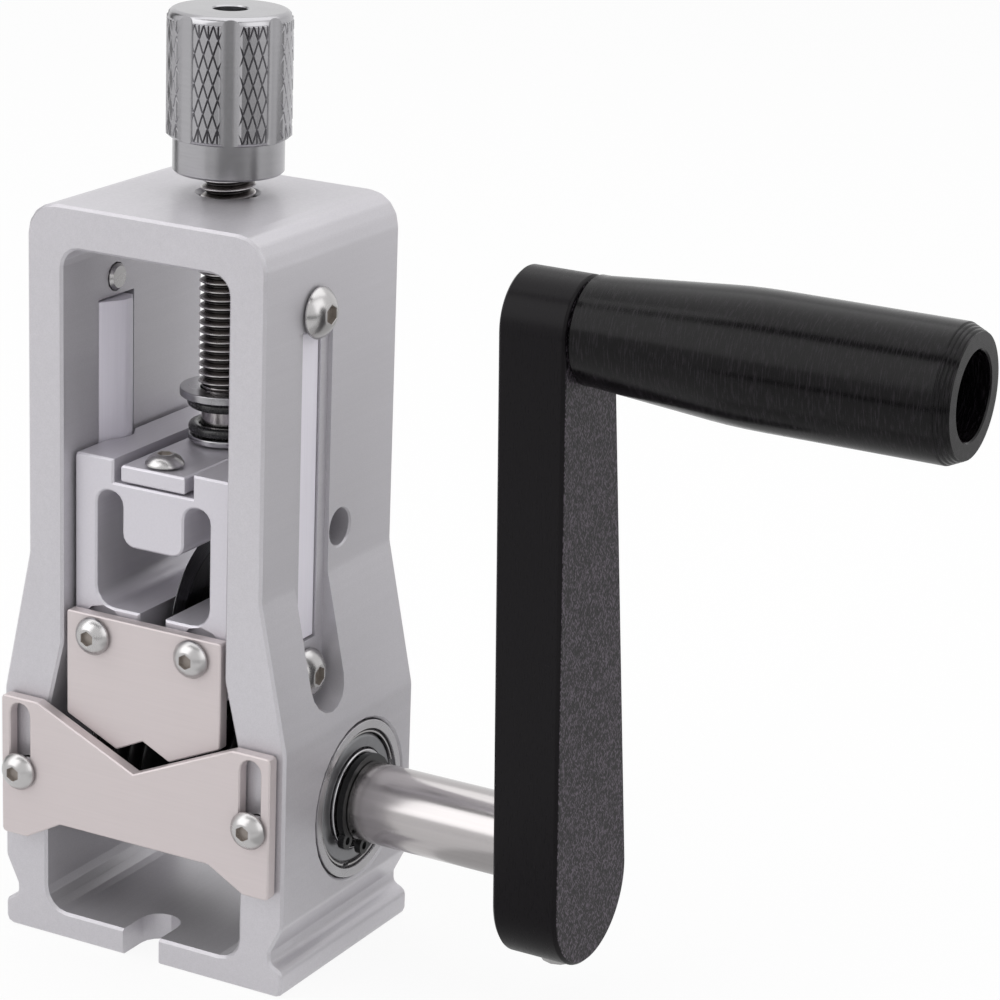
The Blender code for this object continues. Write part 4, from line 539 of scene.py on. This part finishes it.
def carved(shape, cutters):
    """Cut each of the cutters out of the shape and return the new shape."""
    items = [in_scene("scratch", mesh_of("scratch", part)) for part in (shape, *cutters)]
    for tool in items[1:]:
        cut = items[0].modifiers.new("cut", "BOOLEAN")
        cut.operation = "DIFFERENCE"
        cut.solver = "EXACT"
        cut.object = tool
    bpy.context.view_layer.update()
    result = bmesh.new()
    result.from_object(items[0], bpy.context.evaluated_depsgraph_get())
    for item in items:
        mesh = item.data
        bpy.data.objects.remove(item, do_unlink=True)
        bpy.data.meshes.remove(mesh)
    bmesh.ops.remove_doubles(result, verts=result.verts, dist=MERGE_DISTANCE)
    return result


def placed(shape, place):
    """Move a shape to its place."""
    bmesh.ops.transform(shape, matrix=place, verts=shape.verts)
    return shape


def facing(place, direction):
    """Return the place of a piece whose own Z points along the direction."""
    turn = Vector(direction).to_track_quat("Z", "Y").to_matrix().to_4x4()
    return Matrix.Translation(place) @ turn


def add_piece(name, shape, finish, body, replaced=(), sharp=35):
    """Make a finished piece of a shape that is in its place, riding on a body."""
    bmesh.ops.recalc_face_normals(shape, faces=shape.faces)
    mesh = mesh_of(name, shape)
    mesh.shade_smooth()
    mesh.set_sharp_from_angle(angle=math.radians(sharp))
    mesh.materials.append(finish_material(finish))
    item = in_scene(name, mesh)
    flat = item.modifiers.new("flat_faces", "WEIGHTED_NORMAL")
    flat.keep_sharp = True
    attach(item, body)
    if replaced:
        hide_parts(*replaced)
    return item


def merged_copy(node):
    """Return a clean copy of a node's shape, its triangles joined into whole faces."""
    shape = bmesh.new()
    shape.from_mesh(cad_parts[node].data)
    bmesh.ops.remove_doubles(shape, verts=shape.verts, dist=MERGE_DISTANCE)
    bmesh.ops.dissolve_limit(shape, angle_limit=math.radians(1.0), verts=shape.verts,
                             edges=shape.edges)
    return shape


def refine(node, name, finish, body, width, segments=2):
    """Replace a node by a copy with broken edges."""
    shape = soften(merged_copy(node), width, segments, degrees=40)
    return add_piece(name, shape, finish, body, [node])


def pin_hole(reach):
    """Return the cutter of the roller pin's hole, that far to both sides of the shaft's axis."""
    low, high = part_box("roller_pin")
    place = Matrix.Translation(((low.x + high.x) / 2, SHAFT_AXIS.y, SHAFT_AXIS.z))
    return placed(rod(PIN_HOLE, -reach, reach, HOLE_STEPS), place)


def repaint(node, finish):
    """Give a node that stays its finish."""
    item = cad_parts[node]
    item.data.materials.clear()
    item.data.materials.append(finish_material(finish))


# Pieces

class MakeFrame(bpy.types.Operator):
    """Make the windowed frame with its broken edges and the crisp folds of its flared sides"""

    bl_idname = "stripper.frame"
    bl_label = "Windowed frame"

    def execute(self, context):
        shape = merged_copy("frame_body")
        small_face, flare_low, mostly, arc_break = 0.00005, 0.03, 0.9, 0.00020
        folds = [edge for edge in gentle_edges(shape)
                 if abs(edge.verts[0].co.z - edge.verts[1].co.z) < MERGE_DISTANCE
                 and least_area(edge) > small_face and edge.verts[0].co.z > flare_low]
        bevelled(shape, folds, sizes().edge_break * 2, 1)
        arcs = [edge for edge in gentle_edges(shape)
                if abs(edge.verts[0].co.y - edge.verts[1].co.y) > mostly * edge.calc_length()
                and least_area(edge) < small_face]
        bevelled(shape, arcs, arc_break, 1)
        soften(shape, sizes().edge_break, degrees=40)
        add_piece("windowed_frame", shape, "blasted_aluminium", "frame", ["frame_body"], 30)
        return {"FINISHED"}


class MakeStrips(bpy.types.Operator):
    """Make the two ground guide strips in the side slots"""

    bl_idname = "stripper.strips"
    bl_label = "Guide strips"

    def execute(self, context):
        for _, side in SIDES:
            refine("guide_strip_" + side, "ground_strip_" + side, "bright_strip", "frame",
                   sizes().edge_break)
        return {"FINISHED"}


def button_screw(node, name, body, direction, key):
    """Replace a screw by a domed button head with a hexagon socket, and its shank."""
    low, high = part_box(node)
    axis = max(range(3), key=lambda index: abs(direction[index]))
    ends = (low[axis], high[axis])
    tip, top = ends if direction[axis] > 0 else ends[::-1]
    across = [index for index in range(3) if index != axis]
    head = (high[across[0]] - low[across[0]]) / 2
    middle = (low + high) / 2
    middle[axis] = top
    shank = head * SHANK_SHARE
    height = head * DOME_SHARE
    corner = key / math.sqrt(3)
    crown = corner + CROWN_MARGIN
    rim = height * RIM_SHARE
    reach = abs(top - tip)
    profile = [(0, 0), (crown, 0)]
    for step in range(1, DOME_STEPS + 1):
        share = step / DOME_STEPS
        profile.append((crown + (head - crown) * share,
                        -(height - rim) * (DOME_SLOPE * share + DOME_CURVE * share ** 3)))
    profile += [(head, -height + HEAD_BREAK), (head - HEAD_BREAK, -height), (shank, -height),
                (shank, -reach + TIP_BREAK), (shank - TIP_BREAK, -reach), (0, -reach)]
    shape = carved(spun(profile, 48, closed=False),
                   [rod(corner, -height * SOCKET_SHARE, OVERRUN, 6)])
    soften(shape, 0.00004, 1, 50)
    # faces inside the socket take the darker painted shade
    for face in shape.faces:
        centre = face.calc_center_median()
        inside = math.hypot(centre.x, centre.y) < corner and -height / 2 < centre.z < -0.00003
        face.material_index = 1 if inside else 0
    item = add_piece(name, placed(shape, facing(middle, direction)), "polished_steel", body, [node])
    item.data.materials.append(finish_material("socket_steel"))
    return item


class MakeScrews(bpy.types.Operator):
    """Make the button head screws of the frame, the plates and the carriage"""

    bl_idname = "stripper.screws"
    bl_label = "Button head screws"

    def execute(self, context):
        for sign, side in SIDES:
            for level in ("upper", "lower"):
                button_screw(f"side_screw_{level}_{side}", f"button_{level}_{side}", "frame",
                             (sign, 0, 0), LARGE_KEY)
            for level, name, body in (("lower", "low", "frame"), ("upper", "high", "carriage")):
                button_screw(f"{level}_plate_screw_{side}", f"button_plate_{name}_{side}", body,
                             (0, -1, 0), SMALL_KEY)
        for end in ("front", "rear"):
            button_screw("retaining_screw_" + end, "button_retainer_" + end, "carriage",
                         (0, 0, 1), SMALL_KEY)
        return {"FINISHED"}


class MakePlates(bpy.types.Operator):
    """Make the two guide plates for the wire"""

    bl_idname = "stripper.plates"
    bl_label = "Guide plates"

    def execute(self, context):
        edge = sizes().sheet_edge
        refine("lower_guide_plate", "sliding_plate", "guide_plate_steel", "lower_plate", edge, 1)
        refine("upper_guide_plate", "notched_plate", "guide_plate_steel", "carriage", edge, 1)
        return {"FINISHED"}


class MakeCarriage(bpy.types.Operator):
    """Make the carriage and its retaining plate"""

    bl_idname = "stripper.carriage"
    bl_label = "Carriage"

    def execute(self, context):
        for node, name in (("carriage_block", "milled_carriage"),
                           ("retaining_plate", "channel_plate")):
            refine(node, name, "machined_aluminium", "carriage", sizes().edge_break)
        return {"FINISHED"}


class MakeBlade(bpy.types.Operator):
    """Make the round blade, its axle and its spacers"""

    bl_idname = "stripper.blade"
    bl_label = "Round blade"

    def execute(self, context):
        hole, bevel_width, edge = 0.0027, 0.0024, 0.00006
        half = (BLADE_HIGH.x - BLADE_LOW.x) / 2
        radius = (BLADE_HIGH.z - BLADE_LOW.z) / 2
        bevel = radius - bevel_width
        profile = [(hole, half), (bevel, half), (radius, edge), (radius, -edge), (bevel, -half),
                   (hole, -half)]
        shape = placed(spun(profile, 120), Matrix.Translation(BLADE_AXIS) @ ALONG_X)
        add_piece("round_blade", shape, "blade_steel", "blade", ["cutting_blade"], 8)
        for node in ("blade_axle", "blade_spacer_left", "blade_spacer_right"):
            repaint(node, "ground_steel")
        return {"FINISHED"}


class MakeLeadScrew(bpy.types.Operator):
    """Make the lead screw with its helical thread, neck and foot"""

    bl_idname = "stripper.lead_screw"
    bl_label = "Lead screw"

    def execute(self, context):
        pitch = sizes().thread_pitch
        outside, neck, foot_neck = 0.0040, 0.0035, 0.0028
        clearance, overlap, foot_height = 0.0001, 0.0003, 0.0014
        steps, spare_turns = 40, 3
        root = outside - sizes().thread_depth
        thread_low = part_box("flange_washer")[1].z + clearance
        thread_high = KNOB_LOW.z + pitch
        turns = math.ceil((thread_high - thread_low) / pitch) + spare_turns
        start = thread_low - spare_turns / 2 * pitch
        tooth = ((root, 0.0), (root, 0.12), (outside, 0.50), (outside, 0.60))
        points = [(radius, start + (turn + share) * pitch)
                  for turn in range(turns) for radius, share in tooth]
        points.append((root, start + turns * pitch))
        shape = bmesh.new()
        verts = [shape.verts.new((radius, 0, height)) for radius, height in points]
        edges = [shape.edges.new(pair) for pair in zip(verts, verts[1:])]
        bmesh.ops.spin(shape, geom=verts + edges, cent=(0, 0, 0), axis=(0, 0, 1),
                       dvec=(0, 0, pitch / steps), angle=2 * math.pi, steps=steps)
        bmesh.ops.remove_doubles(shape, verts=shape.verts, dist=MERGE_DISTANCE)
        for height, normal in ((thread_low, (0, 0, -1)), (thread_high, (0, 0, 1))):
            bmesh.ops.bisect_plane(shape, geom=shape.verts[:] + shape.edges[:] + shape.faces[:],
                                   plane_co=(0, 0, height), plane_no=normal, clear_outer=True)
        rims = [edge for edge in shape.edges if edge.is_boundary]
        bmesh.ops.holes_fill(shape, edges=rims, sides=0)
        add_piece("screw_thread", placed(shape, ON_SCREW), "dark_screw_steel", "adjuster")
        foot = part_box("lead_screw_foot")[0].z
        profile = [(0, thread_low + overlap), (neck, thread_low + overlap),
                   (neck, foot + foot_height), (foot_neck, foot + foot_height), (foot_neck, foot),
                   (0, foot)]
        shape = placed(soften(spun(profile, 64), 0.0001), ON_SCREW)
        add_piece("screw_neck", shape, "ground_steel", "adjuster", ["lead_screw"])
        repaint("lead_screw_foot", "ground_steel")
        return {"FINISHED"}


class MakeRings(bpy.types.Operator):
    """Make the thrust ring, the two black rings and the flange washer on the neck"""

    bl_idname = "stripper.rings"
    bl_label = "Rings on the neck"

    def execute(self, context):
        bore = 0.0037
        for node, name, finish, body, edge, count in (
                ("lower_thrust_ring", "thrust_ring", "washer_steel", "carriage", 0.00025, 3),
                ("lower_black_ring", "black_ring_low", "black_rubber", "carriage", 0.00068, 5),
                ("upper_black_ring", "black_ring_high", "black_rubber", "adjuster", 0.00068, 5),
                ("flange_washer", "flange_ring", "washer_steel", "adjuster", 0.00018, 3)):
            low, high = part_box(node)
            radius = (high.x - low.x) / 2
            profile = [(bore, high.z), (radius, high.z), (radius, low.z), (bore, low.z)]
            shape = soften(spun(profile, sizes().turned_steps), edge, count)
            add_piece(name, placed(shape, ON_SCREW), finish, body, [node])
        return {"FINISHED"}


def knurl(shape, body, low, high, rows):
    """Leave diamonds between crossed grooves on the barrel of that radius."""
    step_angle = math.pi / sizes().knurl_cells
    spacing = (high - low) / rows

    def on_barrel(vert):
        return (abs(math.hypot(vert.co.x, vert.co.y) - body) < MERGE_DISTANCE
                and low - MERGE_DISTANCE < vert.co.z < high + MERGE_DISTANCE)

    kept, gone = [], []
    for vert in shape.verts:
        if on_barrel(vert):
            column = round(math.atan2(vert.co.y, vert.co.x) / step_angle)
            row = round((high - vert.co.z) / spacing)
            (kept if (column + row) % 2 == 0 else gone).append(vert)
    bmesh.ops.connect_verts(shape, verts=kept)
    inner = [vert for vert in gone if low + MERGE_DISTANCE < vert.co.z < high - MERGE_DISTANCE]
    bmesh.ops.dissolve_verts(shape, verts=inner)
    diamonds = [face for face in shape.faces if all(on_barrel(vert) for vert in face.verts)]
    bmesh.ops.inset_individual(shape, faces=diamonds, thickness=sizes().knurl_groove,
                               depth=sizes().knurl_depth, use_even_offset=True)


class MakeKnob(bpy.types.Operator):
    """Make the knob: plain collar, diamond knurl, smooth flutes and a small hole in its top"""

    bl_idname = "stripper.knob"
    bl_label = "Adjusting knob"

    def execute(self, context):
        hole, hole_rim, bore, bore_high = 0.0025, 0.0027, 0.0042, 0.0153
        collar, collar_high, collar_break = 0.00805, 0.0051, 0.0003
        shoulder, shoulder_steps, plain_height = 0.0011, 5, 0.00045
        flutes, first_flute, run_out = 8, 33.5, 0.0005
        radius = (KNOB_HIGH.x - KNOB_LOW.x) / 2
        body = radius - sizes().knurl_depth
        top = KNOB_HIGH.z - KNOB_LOW.z
        high = top - shoulder
        low = collar_high + plain_height
        rows = round((high - low) / (sizes().knurl_height / 2))
        profile = [(hole, bore_high), (hole, top - 0.0002), (hole_rim, top), (body - shoulder, top)]
        for step in range(1, shoulder_steps):
            turn = math.pi / 2 * step / shoulder_steps
            profile.append((body - shoulder + shoulder * math.sin(turn),
                            high + shoulder * math.cos(turn)))
        profile += [(body, high - (high - low) * row / rows) for row in range(rows + 1)]
        profile += [(body - 0.0001, collar_high + 0.0002), (body - 0.0004, collar_high),
                    (collar, collar_high), (collar, collar_break), (collar - collar_break, 0),
                    (bore, 0), (bore, bore_high)]
        shape = spun(profile, sizes().knurl_cells * 2)
        knurl(shape, body, low, high, rows)
        half = sizes().flute_width / 2
        flute = sizes().flute_radius
        distance = math.sqrt(radius ** 2 - half ** 2) + math.sqrt(flute ** 2 - half ** 2)
        cutters = []
        for index in range(flutes):
            turn = Matrix.Rotation(math.radians(first_flute + 360 / flutes * index), 4, "Z")
            cutters.append(placed(rod(flute, collar_high - run_out, top + OVERRUN, 64),
                                  turn @ Matrix.Translation((0, -distance, 0))))
        shape = placed(carved(shape, cutters), Matrix.Translation((0, MECHANISM_Y, KNOB_LOW.z)))
        add_piece("knurled_knob", shape, "knob_steel", "adjuster", ["adjusting_knob"], 22)
        return {"FINISHED"}


class MakeBearings(bpy.types.Operator):
    """Make the shielded ball bearings on both sides"""

    bl_idname = "stripper.bearings"
    bl_label = "Ball bearings"

    def execute(self, context):
        steps = sizes().turned_steps
        outside, lip, groove, inner_rim = 0.0120, 0.0106, 0.0103, 0.0075
        lip_depth, groove_depth = 0.0007, 0.0010
        for _, side in SIDES:
            low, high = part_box("bearing_outer_ring_" + side)
            half = (high.x - low.x) / 2
            place = Matrix.Translation(((low.x + high.x) / 2, 0, 0)) @ ON_SHAFT @ ALONG_X
            outer = [(groove, half - groove_depth), (lip, half - lip_depth), (lip, half),
                     (outside, half), (outside, -half), (lip, -half), (lip, lip_depth - half),
                     (groove, groove_depth - half)]
            add_piece("outer_race_" + side, placed(soften(spun(outer, steps), 0.00026), place),
                      "ring_steel", "frame", ["bearing_outer_ring_" + side])
            inner = [(SHAFT_BORE, half), (inner_rim, half), (inner_rim, -half), (SHAFT_BORE, -half)]
            add_piece("inner_race_" + side, placed(soften(spun(inner, steps), 0.00020, 3), place),
                      "ring_steel", "crank", ["bearing_inner_ring_" + side])
            for end, face in ((1, "out"), (-1, "in")):
                shield = [(radius, end * (half - depth)) for radius, depth in SHIELD]
                add_piece(f"shield_{side}_{face}", placed(spun(shield, steps), place),
                          "shield_steel", "frame")
                wire = [(radius, end * (half - depth)) for radius, depth in SNAP_WIRE]
                lengths = bmesh.new()
                for part in range(WIRE_PARTS):
                    arc = spun(wire, steps // WIRE_PARTS, sweep=math.radians(WIRE_SWEEP))
                    turn = math.radians(360 // WIRE_PARTS * part + WIRE_START)
                    mesh = mesh_of("scratch", placed(arc, Matrix.Rotation(turn, 4, "Z")))
                    lengths.from_mesh(mesh)
                    bpy.data.meshes.remove(mesh)
                add_piece(f"snap_wire_{side}_{face}", placed(lengths, place), "polished_steel",
                          "frame")
            repaint("bearing_cage_" + side, "ring_steel")
        return {"FINISHED"}


class MakeCirclips(bpy.types.Operator):
    """Make the spring clips outside the bearings"""

    bl_idname = "stripper.circlips"
    bl_label = "Circlips"

    def execute(self, context):
        clip_turn = math.radians(-27)
        turn = ON_SHAFT @ Matrix.Rotation(clip_turn, 4, "X") @ ON_SHAFT.inverted()
        for _, side in SIDES:
            shape = soften(merged_copy("shaft_circlip_" + side), 0.00008, degrees=40)
            add_piece("spring_clip_" + side, placed(shape, turn), "black_oxide_steel", "crank",
                      ["shaft_circlip_" + side])
        return {"FINISHED"}


class MakeShaft(bpy.types.Operator):
    """Make the ground drive shaft"""

    bl_idname = "stripper.shaft"
    bl_label = "Drive shaft"

    def execute(self, context):
        chamfer, groove, play = 0.0006, 0.0004, 0.0001
        radius = (SHAFT_HIGH.z - SHAFT_LOW.z) / 2
        profile = [(0, SHAFT_HIGH.x), (radius - chamfer, SHAFT_HIGH.x),
                   (radius, SHAFT_HIGH.x - chamfer)]
        for _, side in reversed(SIDES):
            low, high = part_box("shaft_circlip_" + side)
            for depth, x in ((0, high.x + play), (groove, high.x + play), (groove, low.x - play),
                             (0, low.x - play)):
                profile.append((radius - depth, x))
        profile += [(radius, SHAFT_LOW.x + chamfer), (radius - chamfer, SHAFT_LOW.x),
                    (0, SHAFT_LOW.x)]
        shape = carved(placed(spun(profile, 96), ON_SHAFT @ ALONG_X), [pin_hole(OVERRUN * 3)])
        add_piece("ground_shaft", soften(shape, 0.00008), "ground_steel", "crank", ["drive_shaft"])
        repaint("roller_pin", "ground_steel")
        return {"FINISHED"}


class MakeRoller(bpy.types.Operator):
    """Make the feed roller with its V groove and rounded ridges"""

    bl_idname = "stripper.roller"
    bl_label = "Feed roller"

    def execute(self, context):
        low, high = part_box("feed_roller")
        half = (high.x - low.x) / 2
        radius = (high.z - low.z) / 2
        first, pitch, count, depth, steps = 0.0034, 0.0024, 3, 0.0016, 6
        right = [(0.0070, 0.0009)]
        for ridge in range(count):
            for step in range(steps + 1):
                share = step / steps
                right.append((radius - depth * (1 - math.sin(math.pi * share)),
                              first + pitch * (ridge + share)))
        right += [(radius - depth, half)]
        profile = [(across, -along) for across, along in reversed(right)] + right
        profile += [(SHAFT_BORE, half), (SHAFT_BORE, -half)]
        shape = carved(placed(spun(profile, 120), ON_SHAFT @ ALONG_X), [pin_hole(radius * 1.2)])
        add_piece("ridged_roller", shape, "black_oxide_steel", "crank", ["feed_roller"], 40)
        return {"FINISHED"}


class MakeArm(bpy.types.Operator):
    """Make the crank arm and the screw that clamps it"""

    bl_idname = "stripper.arm"
    bl_label = "Crank arm"

    def execute(self, context):
        lean = math.atan2(SHAFT_AXIS.y - GRIP_AXIS.y, GRIP_AXIS.z - SHAFT_AXIS.z)
        reach = math.hypot(SHAFT_AXIS.y - GRIP_AXIS.y, GRIP_AXIS.z - SHAFT_AXIS.z)
        thick = ARM_HIGH.x - ARM_LOW.x
        hub, hub_drop, foot, end = 0.0111, 0.0055, 0.0166, 0.0075
        bore_depth, bolt_radius, bolt_depth = 0.0078, 0.0032, 0.0082
        spot_radius, spot_depth, tapped_radius, tapped_depth = 0.0036, 0.0006, 0.0022, 0.0110
        shape = bmesh.new()
        for height, radius in ((-hub_drop, hub), (reach, end)):
            bmesh.ops.create_cone(shape, cap_ends=False, segments=128, radius1=radius, radius2=radius,
                                  depth=thick, matrix=Matrix.Translation((0, height, thick / 2)))
        bmesh.ops.delete(shape, geom=shape.edges[:] + shape.faces[:], context="EDGES_FACES")
        hull = bmesh.ops.convex_hull(shape, input=shape.verts)
        spare = list({item for item in hull["geom_interior"] + hull["geom_unused"]
                      if isinstance(item, bmesh.types.BMVert)})
        bmesh.ops.delete(shape, geom=spare, context="VERTS")
        bmesh.ops.dissolve_limit(shape, angle_limit=math.radians(0.5), verts=shape.verts,
                                 edges=shape.edges)
        soften(shape, 0.0005, 1, 60)
        soften(shape, 0.00009, 1, 30)
        stand = (Matrix.Translation((ARM_LOW.x, SHAFT_AXIS.y, SHAFT_AXIS.z))
                 @ Matrix.Rotation(lean, 4, "X") @ ALONG_X)
        bore = rod(SHAFT_BORE, -OVERRUN, bore_depth, 64)
        bolt = placed(rod(bolt_radius, thick - bolt_depth, thick + OVERRUN, HOLE_STEPS),
                      Matrix.Translation((0, reach, 0)))
        upward = Matrix.Translation((0, -foot, thick / 2)) @ Matrix.Rotation(-math.pi / 2, 4, "X")
        spot = placed(rod(spot_radius, -OVERRUN, spot_depth, 48), upward)
        thread = placed(rod(tapped_radius, -OVERRUN, tapped_depth, HOLE_STEPS), upward)
        shape = placed(carved(shape, [bore, bolt, spot, thread]), stand)
        item = add_piece("tapered_arm", shape, "black_crank_grained", "crank", ["crank_arm"], 25)
        item.data.materials.append(finish_material("black_crank_smooth"))
        for face in item.data.polygons:
            face.material_index = 0 if abs(face.normal.x) > 0.9 else 1
        repaint("arm_clamp_screw", "polished_steel")
        return {"FINISHED"}


class MakeHandle(bpy.types.Operator):
    """Make the turned handle with the fine rings at its end"""

    bl_idname = "stripper.handle"
    bl_label = "Handle"

    def execute(self, context):
        reach = GRIP_HIGH.x - GRIP_LOW.x
        bore, depth, bolt = 0.0060, 0.0300, 0.0032
        rim, widest, rings, ring_rise, ring_length = 0.0084, 0.0094, 4, 0.0010, 0.0022
        profile = [(bore, reach - depth), (bore, reach - 0.0002), (bore + 0.0002, reach),
                   (rim, reach)]
        for index in range(rings):
            for rise, along in ((0.0, 0.5), (0.8, 0.7), (1.0, 1.0)):
                profile.append((rim + ring_rise * (index + rise) / rings,
                                reach - ring_length * (index + along) / rings))
        profile += [(widest, reach - ring_length), *GRIP_OUTLINE, (bolt, 0), (bolt, reach - depth)]
        place = Matrix.Translation((GRIP_LOW.x, GRIP_AXIS.y, GRIP_AXIS.z)) @ ALONG_X
        add_piece("turned_handle", placed(spun(profile, 128), place), "black_crank_turned",
                  "handle", ["handle_grip"], 20)
        repaint("handle_bolt", "black_oxide_steel")
        repaint("handle_washer", "ground_steel")
        return {"FINISHED"}


# Stage

def seen_rays(tree):
    """Return 1 for rays that the camera sees, also by way of a mirror or a glass, and 0 for others."""
    rays = add_node(tree, "ShaderNodeLightPath").outputs
    seen = add_node(tree, "ShaderNodeMath", {0: rays["Is Camera Ray"], 1: rays["Is Glossy Ray"]},
                    operation="ADD").outputs[0]
    return add_node(tree, "ShaderNodeMath", {0: seen, 1: rays["Is Transmission Ray"]},
                    operation="ADD", use_clamp=True).outputs[0]


def shown_white(tree, shaded, strength):
    """Return a shader that seen and mirrored rays see as white, over one that lights the scene."""
    share = add_node(tree, "ShaderNodeMath", {0: seen_rays(tree), 1: strength},
                     operation="MULTIPLY").outputs[0]
    white = add_node(tree, "ShaderNodeEmission", {"Color": (1, 1, 1, 1), "Strength": 1.0}).outputs[0]
    return add_node(tree, "ShaderNodeMixShader", {0: share, 1: shaded, 2: white}).outputs[0]


def soft_lamp(name, place, target, size, power):
    """Add a square area lamp that points at the target."""
    data = bpy.data.lights.new(name, "AREA")
    data.size = size
    data.energy = power
    lamp = in_scene(name, data)
    lamp.location = place
    lamp.rotation_euler = (Vector(target) - Vector(place)).to_track_quat("-Z", "Y").to_euler()


def dark_card(name, place, turn, wide, high, shade):
    """Add a dark card that glows its shade and shows only in reflections: a painted dark reflection in
    the place of a studio's flag.
    """
    shape = bmesh.new()
    bmesh.ops.create_grid(shape, x_segments=1, y_segments=1, size=0.5,
                          matrix=Matrix.Translation(place) @ Euler(turn).to_matrix().to_4x4()
                          @ Matrix.Diagonal((wide, high, 1, 1)))
    mesh = mesh_of(name, shape)
    paint = bpy.data.materials.new(name)
    paint.use_nodes = True
    tree = paint.node_tree
    tree.nodes.clear()
    glow = add_node(tree, "ShaderNodeEmission",
                    {"Color": (shade, shade, shade, 1.0), "Strength": 1.0})
    out = add_node(tree, "ShaderNodeOutputMaterial")
    tree.links.new(glow.outputs[0], out.inputs["Surface"])
    mesh.materials.append(paint)
    card = in_scene(name, mesh)
    card.visible_camera = False
    card.visible_diffuse = False
    card.visible_shadow = False


class MakeStage(bpy.types.Operator):
    """Make the floor, the soft light and the camera"""

    bl_idname = "stripper.stage"
    bl_label = "Stage"

    def execute(self, context):
        scene = context.scene
        stage = scene.stripper_stage
        scene.view_settings.view_transform = "Standard"

        floor_half, floor_gap = 4.0, 0.00005
        shape = bmesh.new()
        bmesh.ops.create_grid(shape, x_segments=1, y_segments=1, size=floor_half,
                              matrix=Matrix.Translation((0, 0, -floor_gap)))
        mesh = mesh_of("pale_floor", shape)
        floor = in_scene("pale_floor", mesh)
        paint = bpy.data.materials.new("pale_floor")
        paint.use_nodes = True
        tree = paint.node_tree
        shader = tree.nodes["Principled BSDF"]
        shader.inputs["Base Color"].default_value = (*colours().floor, 1.0)
        shader.inputs["Roughness"].default_value = 0.7
        tree.links.new(shown_white(tree, shader.outputs[0], stage.floor_white),
                       tree.nodes["Material Output"].inputs["Surface"])
        mesh.materials.append(paint)

        world = bpy.data.worlds.new("soft_world")
        world.use_nodes = True
        scene.world = world
        tree = world.node_tree
        backdrop = tree.nodes["Background"]
        backdrop.inputs["Color"].default_value = (1, 1, 1, 1)
        backdrop.inputs["Strength"].default_value = stage.world_strength
        white = add_node(tree, "ShaderNodeBackground", {"Color": (1, 1, 1, 1), "Strength": 1.0})
        mixed = add_node(tree, "ShaderNodeMixShader", {0: seen_rays(tree), 1: backdrop.outputs[0],
                                                       2: white.outputs[0]})
        tree.links.new(mixed.outputs[0], tree.nodes["World Output"].inputs["Surface"])

        middle = (CAD_BOX[0] + CAD_BOX[1]) / 2
        for name, place, size, power in LAMPS:
            soft_lamp(name, place, middle, size, getattr(stage, power))
        for card in CARDS:
            dark_card(*card)

        data = bpy.data.cameras.new("camera")
        data.lens = stage.lens
        data.sensor_width = 36.0
        data.clip_start = 0.01
        camera = in_scene("camera", data)
        yaw, dip, roll = stage.camera_turn
        camera.matrix_world = (Matrix.Translation(stage.camera_place) @ Matrix.Rotation(yaw, 4, "Z")
                               @ Matrix.Rotation(math.pi / 2 - dip, 4, "X")
                               @ Matrix.Rotation(roll, 4, "Z"))
        scene.camera = camera
        return {"FINISHED"}


PIECES = (MakeFrame, MakeStrips, MakeScrews, MakePlates, MakeCarriage, MakeBlade, MakeLeadScrew,
          MakeRings, MakeKnob, MakeBearings, MakeCirclips, MakeShaft, MakeRoller, MakeArm, MakeHandle,
          MakeStage)


class StripperPanel(bpy.types.Panel):
    """Lists the pieces, their sizes and their colours"""

    bl_idname = "VIEW3D_PT_wire_stripper"
    bl_label = "Hand crank wire stripper"
    bl_space_type = "VIEW_3D"
    bl_region_type = "UI"
    bl_category = "Wire stripper"

    def draw(self, context):
        for group in ("stripper_sizes", "stripper_colours", "stripper_stage"):
            settings = getattr(context.scene, group)
            box = self.layout.box()
            for key in settings.bl_rna.properties.keys():
                if key not in ("rna_type", "name"):
                    box.prop(settings, key)
        for piece in PIECES:
            self.layout.operator(piece.bl_idname)


CLASSES = (StripperSizes, StripperColours, StripperStage, *PIECES, StripperPanel)


def register():
    """Register the settings, the operators and the panel."""
    for each in CLASSES:
        bpy.utils.register_class(each)
    bpy.types.Scene.stripper_sizes = PointerProperty(type=StripperSizes)
    bpy.types.Scene.stripper_colours = PointerProperty(type=StripperColours)
    bpy.types.Scene.stripper_stage = PointerProperty(type=StripperStage)


def unregister():
    """Take the settings, the operators and the panel out again."""
    del bpy.types.Scene.stripper_stage
    del bpy.types.Scene.stripper_colours
    del bpy.types.Scene.stripper_sizes
    for each in reversed(CLASSES):
        bpy.utils.unregister_class(each)


def main():
    """Make every piece and the stage."""
    register()
    for piece in PIECES:
        group, name = piece.bl_idname.split(".")
        getattr(getattr(bpy.ops, group), name)()
    bpy.context.view_layer.update()


if __name__ == "__main__":
    main()
